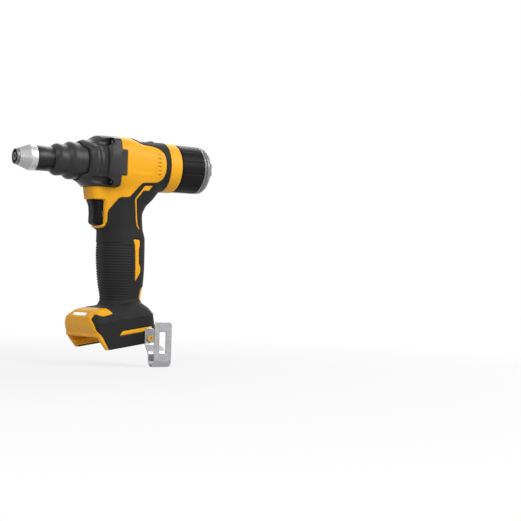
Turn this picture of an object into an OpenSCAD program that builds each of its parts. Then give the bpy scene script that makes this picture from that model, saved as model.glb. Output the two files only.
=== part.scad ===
// Battery rivet tool, in millimetres
// +X is forward out of the nose, +Y is the tool's left side, +Z is up
// The origin is the centre of the nose tip's front face

/* [Nose] */
// Radius of the hole that takes the rivet mandrel
bore_r = 2.4; // [1.2:0.1:3]
// Radius of the nose tip's flange
tip_r = 8; // [7.5:0.1:8.2]
// How far the tip stands out of the collar
tip_out = 7.5; // [6:0.5:9]
// Radius of the silver collar
collar_r = 13; // [12.6:0.1:15]
// Length of the silver collar
collar_len = 13.5; // [12:0.5:18]
// Outer radius of the black tube
tube_r = 12.6; // [12.2:0.1:13]
// Length of the black tube that shows
tube_len = 18; // [16:0.5:22]
// Radius of the first step of the nose housing
step1_r = 16.5; // [15.5:0.1:18]
// Radius of the second step
step2_r = 19.4; // [18.5:0.1:21]
// Radius of the third step
step3_r = 23; // [22:0.1:24]
// Length of each step
step_len = 13.7; // [12:0.1:16]

/* [Head] */
// Half width of the front case and the shells
head_r = 27.5; // [27:0.1:29]
// Length of the front case
case_len = 26; // [24:0.5:30]
// Length of the body shells along the head
panel_len = 58.5; // [56:0.5:64]
// Wall of the shells
wall = 2.6; // [2:0.1:3]
// Thickness of the rubber overmould
skin = 1.6; // [1.2:0.1:2]
// Length of the rear collar
ring_len = 14; // [12:0.5:18]
// Length of the mandrel container that shows
cup_len = 28; // [24:1:60]
// Radius of the mandrel container
cup_r = 25.3; // [24.8:0.1:26]
// Length of the clear end cap
cap_len = 8; // [6:0.5:12]

/* [Drive] */
// Outer radius of the draw rod
rod_r = 9; // [8.5:0.1:9.2]
// Radius of the ball nut
nut_r = 13; // [12.5:0.1:13.5]
// Teeth on the face gear
face_teeth = 30; // [30:10:30]
// Teeth on the drive pinion
pinion_teeth = 10; // [10:1:10]
// Width of the face gear's rim outside the middle of its teeth
face_rim = 2.9; // [2.5:0.1:3.2]
// Gap between the face gear and the head's wall
gear_room = 0.4; // [0.3:0.1:0.8]
// Tooth module of the planet gears
gear_module = 0.55; // [0.52:0.01:0.56]
// Teeth on the sun gear
sun_teeth = 12; // [12:3:12]
// Teeth on each planet gear
planet_teeth = 18; // [18:3:18]
// Radius of the motor and the gearbox
motor_r = 15.5; // [15.2:0.1:15.8]
// Length of the stator core
core_len = 28; // [24:1:30]
// Running clearance of a shaft in its bearing
run = 0.05; // [0.03:0.01:0.08]
// Gap between the stator and the rotor
air_gap = 0.4; // [0.35:0.05:0.8]

/* [Jaws] */
// Slope of the jaw cone, in degrees
jaw_slope = 11.3; // [10:0.1:12]
// Gap between the jaws and their cone
jaw_gap = 0.45; // [0.4:0.05:0.6]

/* [Trigger] */
// Travel of the trigger
pull = 6; // [4:0.5:6]
// Half width of the trigger
trigger_hw = 9; // [7:0.5:10]

/* [Foot] */
// Half width of the foot
foot_hw = 37.5; // [36:0.5:39]
// Tilt of the foot, nose side down, in degrees
foot_tilt = 9; // [7:0.5:10]
// Thickness of the battery bay's side walls
skirt = 5; // [4.5:0.5:6]
// Height of the battery rails
rail_h = 3; // [2.5:0.5:4]

/* [Belt hook] */
// Thickness of the hook's sheet
hook_t = 1.8; // [1.5:0.1:2.2]
// Width of the hook along the tool
hook_w = 19.7; // [18:0.1:21]
// Distance from the foot to the hook's outer leg
hook_out = 20; // [18:0.5:22]
// Radius of the hook screw's thread
hook_thread_r = 2; // [1.5:0.1:2.5]

/* [Hidden] */
$fn = 64;
e = 0.02;
x_collar = -4;
x_tip = x_collar + tip_out;
x_tube = x_collar - collar_len;
x_step1 = x_tube - tube_len;
x_step2 = x_step1 - step_len;
x_step3 = x_step2 - step_len;
x_case = x_step3 - step_len;
x_split = x_case - case_len;
x_ring = x_split - panel_len;
x_cup = x_ring - ring_len;
x_cap = x_cup - cup_len;
xm = x_split - 15.4;
tube_in = 10.2;
room_r = head_r - wall - 1.6;
bear_r = room_r - 3.3;
face_r = room_r - face_rim - gear_room;
face_m = 2 * face_r / face_teeth;
neck_r = head_r - 4.6;
ear = head_r - 7.9;
nut_front = x_case - 11.5;
nut_rear = nut_front - 48;
rod_rear = x_ring + 15.8;
sun_r = gear_module * sun_teeth / 2;
planet_r = gear_module * planet_teeth / 2;
ring_teeth = sun_teeth + 2 * planet_teeth;
orbit = sun_r + planet_r;
pin_r = face_r * pinion_teeth / face_teeth;
addendum = 0.7125 * face_m;
dedendum = 0.975 * face_m;
x_pitch = xm + pin_r;
jaw_case_len = 26;
x_jaw = x_tube - 1.5;
cone_front = 4.6;
cone_len = 14;
cone_tan = tan(jaw_slope);
cone_back = cone_front + cone_len * cone_tan;
hook_x = -127.8;
hook_screw_at = [hook_x - 5.8, -179.4];
foot_at = [-112, 0, -172];
case_floor = -head_r + 0.9;
shelf_hw = trigger_hw + 4;
bay_hw = foot_hw - skirt;
insert_y = foot_hw - 10.5;
z_top = -face_r - 7.2;
z_plate = z_top - 27.3;
z_core = z_plate - 17.5;
z_end = z_core - core_len;
x_pad = -89.6;
x_switch = x_pad - pull - 1;

// Front X, rear X, half width and squareness of the handle at each height
handle_rows = [
    [-12, -93, -158, 24, 2.6],
    [-20, -91.5, -158.5, 23, 2.6],
    [-27, -91, -157, 21.5, 2.5],
    [-35, -90.8, -149, 20.5, 2.5],
    [-43, -91.3, -142, 19.8, 2.5],
    [-53, -91.5, -138.2, 19.5, 2.5],
    [-66, -91.6, -139.2, 19.5, 2.5],
    [-78, -91.9, -142, 20.4, 2.5],
    [-92, -91.4, -142.1, 21, 2.5],
    [-107, -92.2, -142.2, 20.6, 2.5],
    [-125, -94.2, -141.3, 19.4, 2.5],
    [-140, -96.8, -139.2, 18.6, 2.5],
    [-148, -96, -141, 20.5, 2.6],
    [-156, -91, -146, 26, 2.8]
];

// X, half width, half height up, squareness of the head
head_rows = [
    [x_split, head_r, head_r + 1, 3],
    [x_split - 10, head_r - 0.2, head_r + 1.2, 2.9],
    [x_split - 20, head_r - 0.6, head_r + 0.6, 2.7],
    [x_split - 30, head_r - 1, head_r - 2, 2.5],
    [x_split - 42, head_r - 1.2, head_r - 1.8, 2.4],
    [x_ring, head_r - 1.2, head_r - 1.2, 2.2]
];

function squircle(a, b, n, k = 32) = [
    for (i = [0:k - 1])
        let (c = cos(360 * i / k), s = sin(360 * i / k))
        [a * sign(c) * pow(abs(c), 2 / n), b * sign(s) * pow(abs(s), 2 / n)]
];

// Outline of a spur gear: each tooth has two root points and two tip points
function gear_outline(teeth, m, thin, add, ded) = [
    for (i = [0:teeth - 1])
        let (
            r = m * teeth / 2,
            half = 90 / teeth - thin / r * 90 / PI,
            at = 360 * i / teeth,
            lean_tip = tan(20) * add / r * 180 / PI,
            lean_root = tan(20) * ded / r * 180 / PI
        )
        each [
            (r - ded) * [cos(at - half - lean_root), sin(at - half - lean_root)],
            (r + add) * [cos(at - half + lean_tip), sin(at - half + lean_tip)],
            (r + add) * [cos(at + half - lean_tip), sin(at + half - lean_tip)],
            (r - ded) * [cos(at + half + lean_root), sin(at + half + lean_root)]
        ]
];

// Outline of a bent strip of sheet along a path
function unit(v) = v / norm(v);
function path_normal(p, i) =
    let (
        a = p[max(i - 1, 0)],
        b = p[min(i + 1, len(p) - 1)],
        d = unit(b - a)
    )
    [-d[1], d[0]];
function strip(p, t) = concat(
    [for (i = [0:len(p) - 1]) p[i] + path_normal(p, i) * t / 2],
    [for (i = [len(p) - 1:-1:0]) p[i] - path_normal(p, i) * t / 2]
);

// A ring or rod turned about the tool's long axis, from [x, r] points
module turned_x(points) {
    rotate([0, 90, 0])
        rotate_extrude()
            polygon([for (p = points) [p[1], p[0]]]);
}

module rod_x(x0, x1, r) {
    translate([x1, 0, 0])
        rotate([0, 90, 0])
            cylinder(h = x0 - x1, r = r);
}

module tube_x(x0, x1, r, bore) {
    difference() {
        rod_x(x0, x1, r);
        rod_x(x0 + 1, x1 - 1, bore);
    }
}

module rod_z(z0, z1, r) {
    translate([xm, 0, z0])
        cylinder(h = z1 - z0, r = r);
}

module tube_z(z0, z1, r, bore) {
    difference() {
        rod_z(z0, z1, r);
        rod_z(z0 - 1, z1 + 1, bore);
    }
}

module foot_frame() {
    translate(foot_at)
        rotate([0, foot_tilt, 0])
            children();
}

module side_prism(points, y0, y1) {
    translate([0, y1, 0])
        rotate([90, 0, 0])
            linear_extrude(y1 - y0)
                polygon(points);
}

module box(x0, x1, y0, y1, z0, z1) {
    translate([x0, y0, z0])
        cube([x1 - x0, y1 - y0, z1 - z0]);
}

// A closed skin through rings of equally many points, from the first ring to the last
module loft(rings) {
    k = len(rings[0]);
    n = len(rings);
    polyhedron(
        points = [for (r = rings) each r],
        faces = concat(
            [for (i = [0:n - 2], j = [0:k - 1])
                let (a = i * k + j, b = i * k + (j + 1) % k)
                each [[a, b, b + k], [a, b + k, a + k]]],
            [[for (j = [k - 1:-1:0]) j]],
            [[for (j = [0:k - 1]) (n - 1) * k + j]]
        )
    );
}

// Body envelope, shrunk by g on every side
module head_body(g) {
    loft([
        for (row = head_rows)
            [for (p = squircle(row[1] - g, 1, row[3], 36))
                [row[0], p[0], p[1] * ((p[1] > 0 ? row[2] : row[1]) - g)]]
    ]);
}

module handle_body(g) {
    loft([
        for (row = handle_rows)
            [for (p = squircle((row[1] - row[2]) / 2 - g, row[3] - g, row[4], 28))
                [(row[1] + row[2]) / 2 + p[0], p[1], row[0]]]
    ]);
}

// Nose of the shells that carries the trigger, under the front case
module shelf_slab(x0, x1, hw, z, g) {
    translate([(x0 + x1) / 2, 0, z])
        linear_extrude(e, center = true)
            polygon(squircle((x1 - x0) / 2 - g, hw - g, 5, 28));
}

module shelf_body(g) {
    hull() {
        shelf_slab(-118, x_case + 0.9, shelf_hw + 1.5, -18, g);
        shelf_slab(-118, x_case - 1.4, shelf_hw - 0.5, -38.5 + g, g);
    }
    hull() {
        shelf_slab(-118, -90.5, shelf_hw - 2, -69.4 + g, g);
        shelf_slab(-118, -87.6, shelf_hw - 1, -68, g);
        shelf_slab(-118, -86.3, shelf_hw - 0.5, -66, g);
        shelf_slab(-118, -90.4, shelf_hw + 1, -63, g);
    }
    hull() {
        shelf_slab(-118, -90.4, shelf_hw + 1, -63, g);
        shelf_slab(-118, -90.4, shelf_hw + 1, -30, g);
    }
}

module foot_plan(x0, x1, hw, rear, front) {
    hull() {
        for (s = [-1, 1]) {
            translate([x0 + rear, s * (hw - rear)])
                circle(r = rear, $fn = 28);
            translate([x1 - front, s * (hw - front)])
                circle(r = max(front, 0.4), $fn = 20);
        }
    }
}

module foot_slab(z, x0, x1, hw, rear, front, g) {
    translate([0, 0, z])
        linear_extrude(e, center = true)
            foot_plan(x0 + g, x1 - g, hw - g, rear - g, front - g);
}

foot_bottom = -15.6;
module foot_body(g) {
    hull() {
        foot_slab(foot_bottom - abs(g), -33.5, 41, foot_hw, 14, 5, g);
        foot_slab(-1, -33.5, 41, foot_hw, 14, 5, g);
        foot_slab(13, -33.5, 41, foot_hw, 14, 9, g);
    }
    hull() {
        foot_slab(13, -33.5, 41, foot_hw, 14, 9, g);
        foot_slab(18.5 - g, -30, 40, foot_hw - 4.5, 12, 8, g);
    }
    hull() {
        foot_slab(18.5 - g, -30, 40, foot_hw - 4.5, 12, 8, g);
        foot_slab(24 - g, -25, 30, foot_hw - 12, 11, 8, g);
    }
}

// Slanted front edges of the battery bay's skirts
module foot_front_cut() {
    side_prism([[60, 14.2], [42.2, 14.2], [36.6, -1.8], [20.8, -30], [60, -30]], -60, 60);
}

module envelope(g) {
    head_body(g);
    handle_body(g);
    shelf_body(g);
    foot_frame()
        difference() {
            foot_body(g);
            foot_front_cut();
        }
}

// Side outline of the rubber overmould on the head and handle
grip_outline = [
    [-70, -69.4],
    [-91.5, -67.2],
    [-94.5, -61],
    [-94.5, -50],
    [-105, -35.4],
    [-116, -34.7],
    [-129, -19.3],
    [-148, -17.9],
    [-153, -14],
    [-155.4, -6],
    [-155.4, 6],
    [-153, 13.5],
    [-147, 18.5],
    [-139, 21],
    [-134, 24],
    [-133, 40],
    [-170, 40],
    [-170, -148],
    [-70, -148]
];
// Yellow shapes of the shells that show through the overmould
accent_outline = [
    [-132.5, -22.1],
    [-142.3, -21.5],
    [-138.5, -26.9],
    [-131.6, -27.2],
    [-124.2, -36.6],
    [-127.4, -62.6],
    [-130.6, -67],
    [-129.4, -67.8],
    [-125.6, -63.4],
    [-122.2, -36.4]
];
insert_outline = [
    [-121.8, -78.2],
    [-128.5, -78],
    [-130.2, -80],
    [-130, -85],
    [-128.6, -88],
    [-129.4, -103],
    [-132, -107.5],
    [-131.8, -112],
    [-126.2, -121],
    [-125.2, -119],
    [-124.4, -100],
    [-123.4, -84]
];
// The same on the foot, in the foot's own frame
foot_outline = [
    [-60, 40],
    [10, 40],
    [17.9, 21.6],
    [20, 18.6],
    [30, 17.4],
    [37, 18.8],
    [38.6, 16],
    [36.2, 4],
    [31.6, -2.2],
    [26.9, -14],
    [20.8, -30],
    [-60, -30]
];
stripe_outline = [
    [12, -2.9],
    [14.4, 1.2],
    [-25.6, 1.2],
    [-25.6, -2.9]
];

module overmould_region() {
    difference() {
        side_prism(grip_outline, -60, 60);
        for (s = [-1, 1])
            for (o = [accent_outline, insert_outline])
                side_prism(o, s > 0 ? 8 : -60, s > 0 ? 60 : -8);
        box(-160, -130, -4.5, 4.5, -142, -124);
    }
    foot_frame()
        difference() {
            side_prism(foot_outline, -60, 60);
            side_prism(stripe_outline, 25, 60);
            side_prism(stripe_outline, -60, -25);
        }
}

// Free space inside the shells
module hollow() {
    rod_x(x_split + 1, x_ring - 1, room_r);
    handle_body(wall + skin);
    rod_z(z_end - 22.2, z_top - 8.6, motor_r + 0.05);
    rod_z(z_top - 9, z_top + 0.8, 11.55);
    hull() {
        shelf_slab(-112, x_case - 2.2, shelf_hw - 2, -head_r + 2, 0);
        shelf_slab(-112, x_case - 4.2, shelf_hw - 3, -35.6, 0);
    }
    box(-106, x_switch - 0.2, -10.5, 10.5, -66, -30);
    foot_frame() {
        intersection() {
            foot_body(wall + skin);
            box(-60, 60, -60, 60, 4, 30);
        }
        box(-29, -15, -insert_y, insert_y, -13, 5);
        // battery bay, open at the front and below
        difference() {
            box(-12, 60, -bay_hw, bay_hw, -40, 1.4);
            box(34, 60, -bay_hw, bay_hw, -1.5, 5);
            for (s = [-1, 1])
                translate([0, s * bay_hw, -7 - rail_h / 2])
                    cube([60, 6, rail_h], center = true);
        }
    }
}

boss_at = [
    [-97.5, case_floor - 6],
    [-141, case_floor - 5.9],
    [-97.6, -72],
    [xm, -137]
];

module bosses(grow) {
    for (b = boss_at)
        translate([b[0], 22, b[1]])
            rotate([90, 0, 0])
                cylinder(h = 44, r = 3.4 + grow, $fn = 24);
}

module boss_holes() {
    for (b = boss_at) {
        translate([b[0], 9, b[1]])
            rotate([90, 0, 0])
                cylinder(h = 60, r = 1.5, $fn = 24);
        translate([b[0], -8, b[1]])
            rotate([90, 0, 0])
                cylinder(h = 60, r = 3, $fn = 24);
    }
}

// Ribs that hold the motor and the gearbox
module ribs() {
    for (z = [-59, -96, -119])
        difference() {
            intersection() {
                handle_body(wall);
                box(-160, -80, -40, 40, z - 1, z + 1);
            }
            rod_z(z - 5, z + 5, motor_r + 0.1);
            box(-110, -80, -40, 40, z - 5, z + 5);
        }
}

module trigger_slot(gap) {
    box(x_switch, -60, -trigger_hw - gap, trigger_hw + gap, -64.5 - gap, -38.8 + gap);
}

module shells() {
    difference() {
        union() {
            difference() {
                envelope(0);
                hollow();
                difference() {
                    envelope(-1);
                    envelope(skin + 0.05);
                    mirror_region();
                }
            }
            intersection() {
                envelope(wall);
                bosses(0);
            }
            ribs();
        }
        box(x_split - 0.1, 50, -60, 60, case_floor - 0.1, 60);
        box(x_ring - 30, x_ring, -60, 60, -24, 60);
        rod_x(x_ring + 1, x_ring - 40, head_r + 0.4);
        trigger_slot(0.4);
        box(x_split - 6.2, x_split + 1, head_r - 3, 60, -13.2, 13.2);
        box(x_split - 6.2, x_split + 1, -60, -head_r + 3, -13.2, 13.2);
        boss_holes();
        case_screw_holes();
        for (i = [0:5])
            box(-147.4, -144.2, -60, 60, -11 + i * 4.2, -9.2 + i * 4.2);
        foot_frame()
            lens_shape(0.15);
        for (s = [-1, 1])
            translate([hook_screw_at[0], s * insert_y, hook_screw_at[1]])
                rotate([-90 * s, 0, 0])
                    cylinder(h = 20, r = hook_thread_r + 1.5, $fn = 32);
    }
}

// The part of the envelope's outer layer that stays with the shells
module mirror_region() {
    difference() {
        box(-300, 50, -90, 90, -260, 60);
        overmould_region();
    }
}

module overmould() {
    difference() {
        intersection() {
            envelope(0);
            overmould_region();
        }
        envelope(skin);
        rod_x(x_ring + 1, x_ring - 40, head_r + 0.4);
        box(x_ring - 30, x_ring, -60, 60, -24, 60);
        foot_frame()
            box(-12, 60, -bay_hw - 1, bay_hw + 1, -40, 1.4);
        foot_frame()
            lens_shape(0.15);
        boss_holes();
        for (s = [-1, 1])
            translate([hook_screw_at[0], s * insert_y, hook_screw_at[1]])
                rotate([-90 * s, 0, 0])
                    cylinder(h = 20, r = hook_thread_r + 1.5, $fn = 32);
    }
}

module left_side() {
    intersection() {
        children();
        box(-300, 50, 0, 90, -260, 60);
    }
}

module right_side() {
    intersection() {
        children();
        box(-300, 50, -90, 0, -260, 60);
    }
}

// Front case envelope: round at the nose, square at the shells, flat below
case_rows = [
    [x_case, step3_r + 0.6, 2],
    [x_case - 4, step3_r + 3.6, 2],
    [x_case - 9, head_r + 0.6, 2.2],
    [x_case - 15, head_r + 0.4, 2.5],
    [x_case - 20, head_r + 0.7, 2.9],
    [x_split, head_r + 0.9, 3]
];

module case_slab(row) {
    translate([row[0], 0, 0])
        rotate([90, 0, 90])
            linear_extrude(e, center = true)
                polygon(squircle(row[1], row[1], row[2], 40));
}

module front_body() {
    intersection() {
        union() {
            for (i = [0:len(case_rows) - 2])
                hull() {
                    case_slab(case_rows[i]);
                    case_slab(case_rows[i + 1]);
                }
            hull() {
                box(x_split, x_case, -shelf_hw - 1.5, shelf_hw + 1.5, case_floor - 1, -12);
                box(x_split, x_case + 1, -shelf_hw + 2, shelf_hw - 2, case_floor - 1, -14);
            }
            for (y = [-ear, ear], z = [-ear, ear])
                translate([0, y, z])
                    rod_x(x_split + 11, x_split, 5.4);
        }
        box(x_split, 50, -60, 60, case_floor, 60);
    }
}

module case_screw_holes() {
    for (y = [-ear, ear], z = [-ear, ear])
        translate([0, y, z]) {
            rod_x(x_split + 30, x_split - 10.5, 1.65);
            rod_x(x_split + 30, x_split + 8, 3.1);
        }
}

module lens_shape(g) {
    translate([35.2, 0, 21.14])
        rotate([0, 28.8, 0])
            cube([3.6 + 2 * g, 30 + 2 * g, 9], center = true);
}

// A wound wire along X, one unbroken tube
module coil_x(x0, x1, r, wire, turns) {
    rings = turns * 8;
    sides = 6;
    pts = [
        for (i = [0:rings])
            let (a = 45 * i, x = x0 + (x1 - x0) * i / rings)
            for (j = [0:sides - 1])
                let (b = 360 * j / sides, q = r + wire * cos(b))
                [x + wire * sin(b), q * cos(a), q * sin(a)]
    ];
    faces = concat(
        [for (i = [0:rings - 1], j = [0:sides - 1])
            let (k = (j + 1) % sides)
            each [
                [i * sides + j, i * sides + k, (i + 1) * sides + j],
                [i * sides + k, (i + 1) * sides + k, (i + 1) * sides + j]
            ]],
        [for (j = [1:sides - 2]) [0, j + 1, j]],
        [for (j = [1:sides - 2]) [rings * sides, rings * sides + j, rings * sides + j + 1]]
    );
    polyhedron(points = pts, faces = faces);
}

// Nose
module nose_tip() {
    color("silver")
        turned_x([
            [x_tip, bore_r],
            [x_tip, bore_r + 1.4],
            [x_tip - 2, bore_r + 1.4],
            [x_tip - 2, tip_r - 2.2],
            [x_tip, tip_r - 2.2],
            [x_tip, tip_r - 0.6],
            [x_tip - 0.6, tip_r],
            [x_collar + 1.4, tip_r],
            [x_collar + 0.8, tip_r - 1],
            [x_collar, tip_r - 1],
            [x_collar, 5],
            [x_tube + 4.6, 5],
            [x_tube + 4.6, 3.5],
            [x_jaw - 2.5, 3.5],
            [x_jaw - 2.5, bore_r]
        ]);
}

module nose_collar() {
    color("lightgray")
        turned_x([
            [x_collar, 5.02],
            [x_collar, 8.3],
            [x_collar - 0.5, 8.9],
            [x_collar - 6.2, collar_r - 0.5],
            [x_collar - 7, collar_r],
            [x_tube + 0.8, collar_r],
            [x_tube, collar_r - 0.5],
            [x_tube, 11.5],
            [x_tube + 4.5, 11.5],
            [x_tube + 4.5, 5.02]
        ]);
}

module nose_tube() {
    color("dimgray")
        turned_x([
            [x_tube + 4.4, tube_in],
            [x_tube + 4.4, 11.48],
            [x_tube, 11.48],
            [x_tube, tube_r],
            [x_step2 - 6, tube_r],
            [x_step2 - 6, tube_in]
        ]);
}

function step_points(x, r, before) = [
    [x, before + 0.5],
    [x - 1.6, r - 1.9],
    [x - 3.4, r - 0.6],
    [x - 5.4, r],
    [x - step_len + 1.6, r],
    [x - step_len + 0.5, r - 0.5]
];

module nose_housing() {
    color("dimgray")
        turned_x(concat(
            [[x_step1, tube_r + 0.03]],
            step_points(x_step1, step1_r, tube_r),
            step_points(x_step2, step2_r, step1_r - 1.2),
            step_points(x_step3, step3_r, step2_r - 1.2),
            [
                [x_case + 0.05, step3_r - 0.8],
                [x_case + 0.05, 19.5],
                [x_case - 9, 19.5],
                [x_case - 9, 11],
                [x_step2 - 6.1, 11],
                [x_step2 - 6.1, tube_r + 0.03]
            ]
        ));
}

module front_case() {
    color("dimgray")
        difference() {
            union() {
                front_body();
                for (s = [-1, 1])
                    translate([x_split - 6, s * (head_r - 1.35) - 1.55, -13])
                        cube([12, 3.1, 26]);
            }
            rod_x(x_case + 20, x_case - 9.1, 19.53);
            rod_x(x_case, nut_front - 0.1, 16);
            rod_x(nut_front, x_split - 1, bear_r + 0.03);
            rod_x(nut_front - 7.4, x_split - 9, room_r);
            rod_x(x_case + 30, x_case - 0.02, step3_r + 0.2);
            case_screw_holes();
        }
}

module case_screws() {
    color("black")
        for (y = [-ear, ear], z = [-ear, ear])
            translate([0, y, z])
                difference() {
                    union() {
                        rod_x(x_split + 10.4, x_split + 8, 2.9);
                        rod_x(x_split + 8.2, x_split - 10, 1.6);
                    }
                    translate([x_split + 9, 0, 0])
                        rotate([0, 90, 0])
                            cylinder(h = 3, r = 1.5, $fn = 6);
                }
}

// Pulling unit
module jaw_case() {
    color("gray")
        turned_x([
            [x_jaw, cone_front],
            [x_jaw, 9.2],
            [x_jaw - 0.4, 9.6],
            [x_jaw - jaw_case_len, 9.6],
            [x_jaw - jaw_case_len, cone_back],
            [x_jaw - cone_len, cone_back]
        ]);
}

function cone_r(x) = cone_front + (x_jaw - x) * cone_tan;
jaw_x0 = x_jaw - 5.5;
jaw_x1 = x_jaw - cone_len + 0.2;

module jaw(i) {
    color("silver")
        rotate([120 * i, 0, 0])
            intersection() {
                turned_x([
                    [jaw_x0, bore_r + 0.3],
                    [jaw_x0, cone_r(jaw_x0) - jaw_gap],
                    [jaw_x1, cone_r(jaw_x1) - jaw_gap],
                    [jaw_x1, bore_r + 0.3]
                ]);
                translate([jaw_x1 - 1, 0, 0])
                    rotate([90, 0, 90])
                        linear_extrude(jaw_x0 - jaw_x1 + 2)
                            polygon([[0.9, 0], [10.9, -17.32], [10.9, 17.32]]);
            }
}

module jaw_1() { jaw(0); }
module jaw_2() { jaw(1); }
module jaw_3() { jaw(2); }

module jaw_pusher() {
    color("gray")
        turned_x([
            [jaw_x1 - 0.1, bore_r + 0.6],
            [jaw_x1 - 0.1, cone_back - 1.8],
            [jaw_x1 - 1.3, cone_back - 0.6],
            [jaw_x1 - 4.8, cone_back - 0.6],
            [jaw_x1 - 4.8, 4.3],
            [jaw_x1 - 11, 4.3],
            [jaw_x1 - 11, bore_r + 0.6]
        ]);
}

module pusher_spring() {
    color("silver")
        coil_x(x_jaw - 32.3, jaw_x1 - 5.5, 5.25, 0.5, 7);
}

module draw_rod() {
    color("silver")
        turned_x([
            [x_jaw - 20, 6.2],
            [x_jaw - 20, cone_back - 0.03],
            [x_jaw - jaw_case_len - 0.05, cone_back - 0.03],
            [x_jaw - jaw_case_len - 0.05, rod_r],
            [rod_rear, rod_r],
            [rod_rear, 5],
            [x_jaw - 33, 5],
            [x_jaw - 33, 6.2]
        ]);
}

module mandrel_tube() {
    color("silver")
        tube_x(x_jaw - 55, x_cup - 6, 4.4, 3.7);
}

// Nut and face gear
module ball_nut() {
    color("gray")
        tube_x(nut_front, nut_rear, nut_r, rod_r + run);
}

module face_gear() {
    x_root = x_pitch + dedendum;
    half = 0.50625 * face_m;
    color("darkgray")
        union() {
            tube_x(x_root + 6, x_root, face_r + face_rim, nut_r + 0.01);
            for (i = [0:face_teeth - 1])
                rotate([(i + 0.5) * 360 / face_teeth, 0, 0])
                    translate([0, 0, -face_r - 2.3])
                        linear_extrude(4.1)
                            polygon([
                                [x_root + 0.5, half + 0.6],
                                [x_root, half + tan(20) * dedendum],
                                [x_pitch - addendum, half - tan(20) * addendum],
                                [x_pitch - addendum, -half + tan(20) * addendum],
                                [x_root, -half - tan(20) * dedendum],
                                [x_root + 0.5, -half - 0.6]
                            ]);
        }
}

module nut_bearings() {
    color("lightgray") {
        tube_x(nut_front, nut_front - 7, bear_r, nut_r + run);
        tube_x(nut_rear + 7, nut_rear, bear_r, nut_r + run);
    }
}

module bearing_plate() {
    color("gray")
        turned_x([
            [nut_rear + 8, bear_r + 0.03],
            [nut_rear + 8, room_r - 0.05],
            [nut_rear - 2, room_r - 0.05],
            [nut_rear - 2, nut_r + 3],
            [nut_rear - 0.05, nut_r + 3],
            [nut_rear - 0.05, bear_r + 0.03]
        ]);
}

// Gear train
module drive_pinion() {
    color("darkgray")
        difference() {
            union() {
                translate([xm, 0, -face_r - 2.4])
                    linear_extrude(4.3)
                        polygon(gear_outline(pinion_teeth, face_m, 0.558 * face_m, addendum, dedendum));
                rod_z(z_top, -face_r - 2.3, 4.9);
            }
            rod_z(z_top - 12.8, 0, 3);
        }
}

module planet_carrier() {
    color("gray") {
        rod_z(z_top - 17.2, z_top - 14.2, orbit + 3);
        rod_z(z_top - 14.3, z_top - 0.05, 4);
        rod_z(z_top - 0.1, -face_r + 1.9, 2.98);
        for (i = [0:2])
            translate([xm + orbit * cos(120 * i), orbit * sin(120 * i), z_top - 26])
                cylinder(h = 9, r = 1.5);
    }
}

module pinion_bearing() {
    color("lightgray")
        tube_z(z_top - 5.8, z_top - 0.4, 9, 4 + run);
}

module planet(i) {
    color("darkgray")
        translate([xm + orbit * cos(120 * i), orbit * sin(120 * i), z_top - 25.6])
            difference() {
                linear_extrude(7)
                    rotate(180 / planet_teeth)
                        polygon(gear_outline(planet_teeth, gear_module, 0.14, 0.5, 0.64));
                translate([0, 0, -1])
                    cylinder(h = 10, r = 1.5 + run);
            }
}

module planet_1() { planet(0); }
module planet_2() { planet(1); }
module planet_3() { planet(2); }

module sun_gear() {
    color("darkgray")
        translate([xm, 0, z_top - 26.2])
            difference() {
                linear_extrude(7.4)
                    polygon(gear_outline(sun_teeth, gear_module, 0.14, 0.5, 0.64));
                translate([0, 0, -1])
                    cylinder(h = 10, r = 1.62);
            }
}

module ring_gear() {
    color("gray")
        difference() {
            rod_z(z_plate + 0.05, z_top - 17.8, motor_r);
            translate([xm, 0, z_plate - 1])
                linear_extrude(12)
                    rotate(180 / ring_teeth)
                        polygon(gear_outline(ring_teeth, gear_module, -0.14, 0.64, 0.5));
        }
}

module gearbox_housing() {
    color("gray")
        difference() {
            union() {
                rod_z(z_top - 17.75, z_top - 8.8, motor_r);
                rod_z(z_top - 9.3, z_top + 0.6, 11.5);
            }
            rod_z(z_top - 18.8, z_top - 10.8, motor_r - 1.9);
            rod_z(z_top - 12.8, z_top + 7.2, 6);
            rod_z(z_top - 5.9, z_top + 7.2, 9.02);
        }
}

// Motor
module motor_plate() {
    color("gray")
        difference() {
            rod_z(z_core + 0.05, z_plate, motor_r);
            rod_z(z_core - 1, z_plate - 8.5, motor_r - 1.5);
            difference() {
                rod_z(z_core - 1, z_plate - 3.5, motor_r - 1.5);
                rod_z(z_plate - 8.5, z_plate, 10.5);
            }
            rod_z(z_plate - 9, z_plate - 3.5, 8.02);
            rod_z(z_plate - 9, z_plate + 1, 3.4);
        }
}

module motor_bearings() {
    color("lightgray") {
        tube_z(z_plate - 8.4, z_plate - 3.6, 8, 2.5 + run);
        tube_z(z_end - 21, z_end - 16.5, 8, 2.5 + run);
    }
}

pole_r = 8.2;
module stator_core() {
    color("slategray")
        difference() {
            rod_z(z_end, z_core, motor_r);
            rod_z(z_end - 1, z_core + 1, pole_r);
            difference() {
                rod_z(z_end - 1, z_core + 1, motor_r - 2.6);
                for (i = [0:5])
                    translate([xm, 0, z_end - 2])
                        rotate([0, 0, 60 * i])
                            translate([0, -2, 0])
                                cube([motor_r, 4, core_len + 4]);
            }
        }
}

module stator_coils() {
    color("peru")
        for (i = [0:5])
            translate([xm, 0, z_core - core_len / 2])
                rotate([0, 0, 60 * i])
                    translate([pole_r + 2.6, 0, 0])
                        difference() {
                            cube([3, 7.4, core_len + 7], center = true);
                            cube([6, 4.2, core_len + 0.2], center = true);
                        }
}

module rotor_core() {
    color("slategray")
        tube_z(z_end, z_core, pole_r - air_gap, 2.52);
}

module motor_shaft() {
    color("silver") {
        rod_z(z_end - 20.8, z_plate - 2.5, 2.5);
        rod_z(z_plate - 2.6, z_plate + 8.5, 1.6);
    }
}

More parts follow.
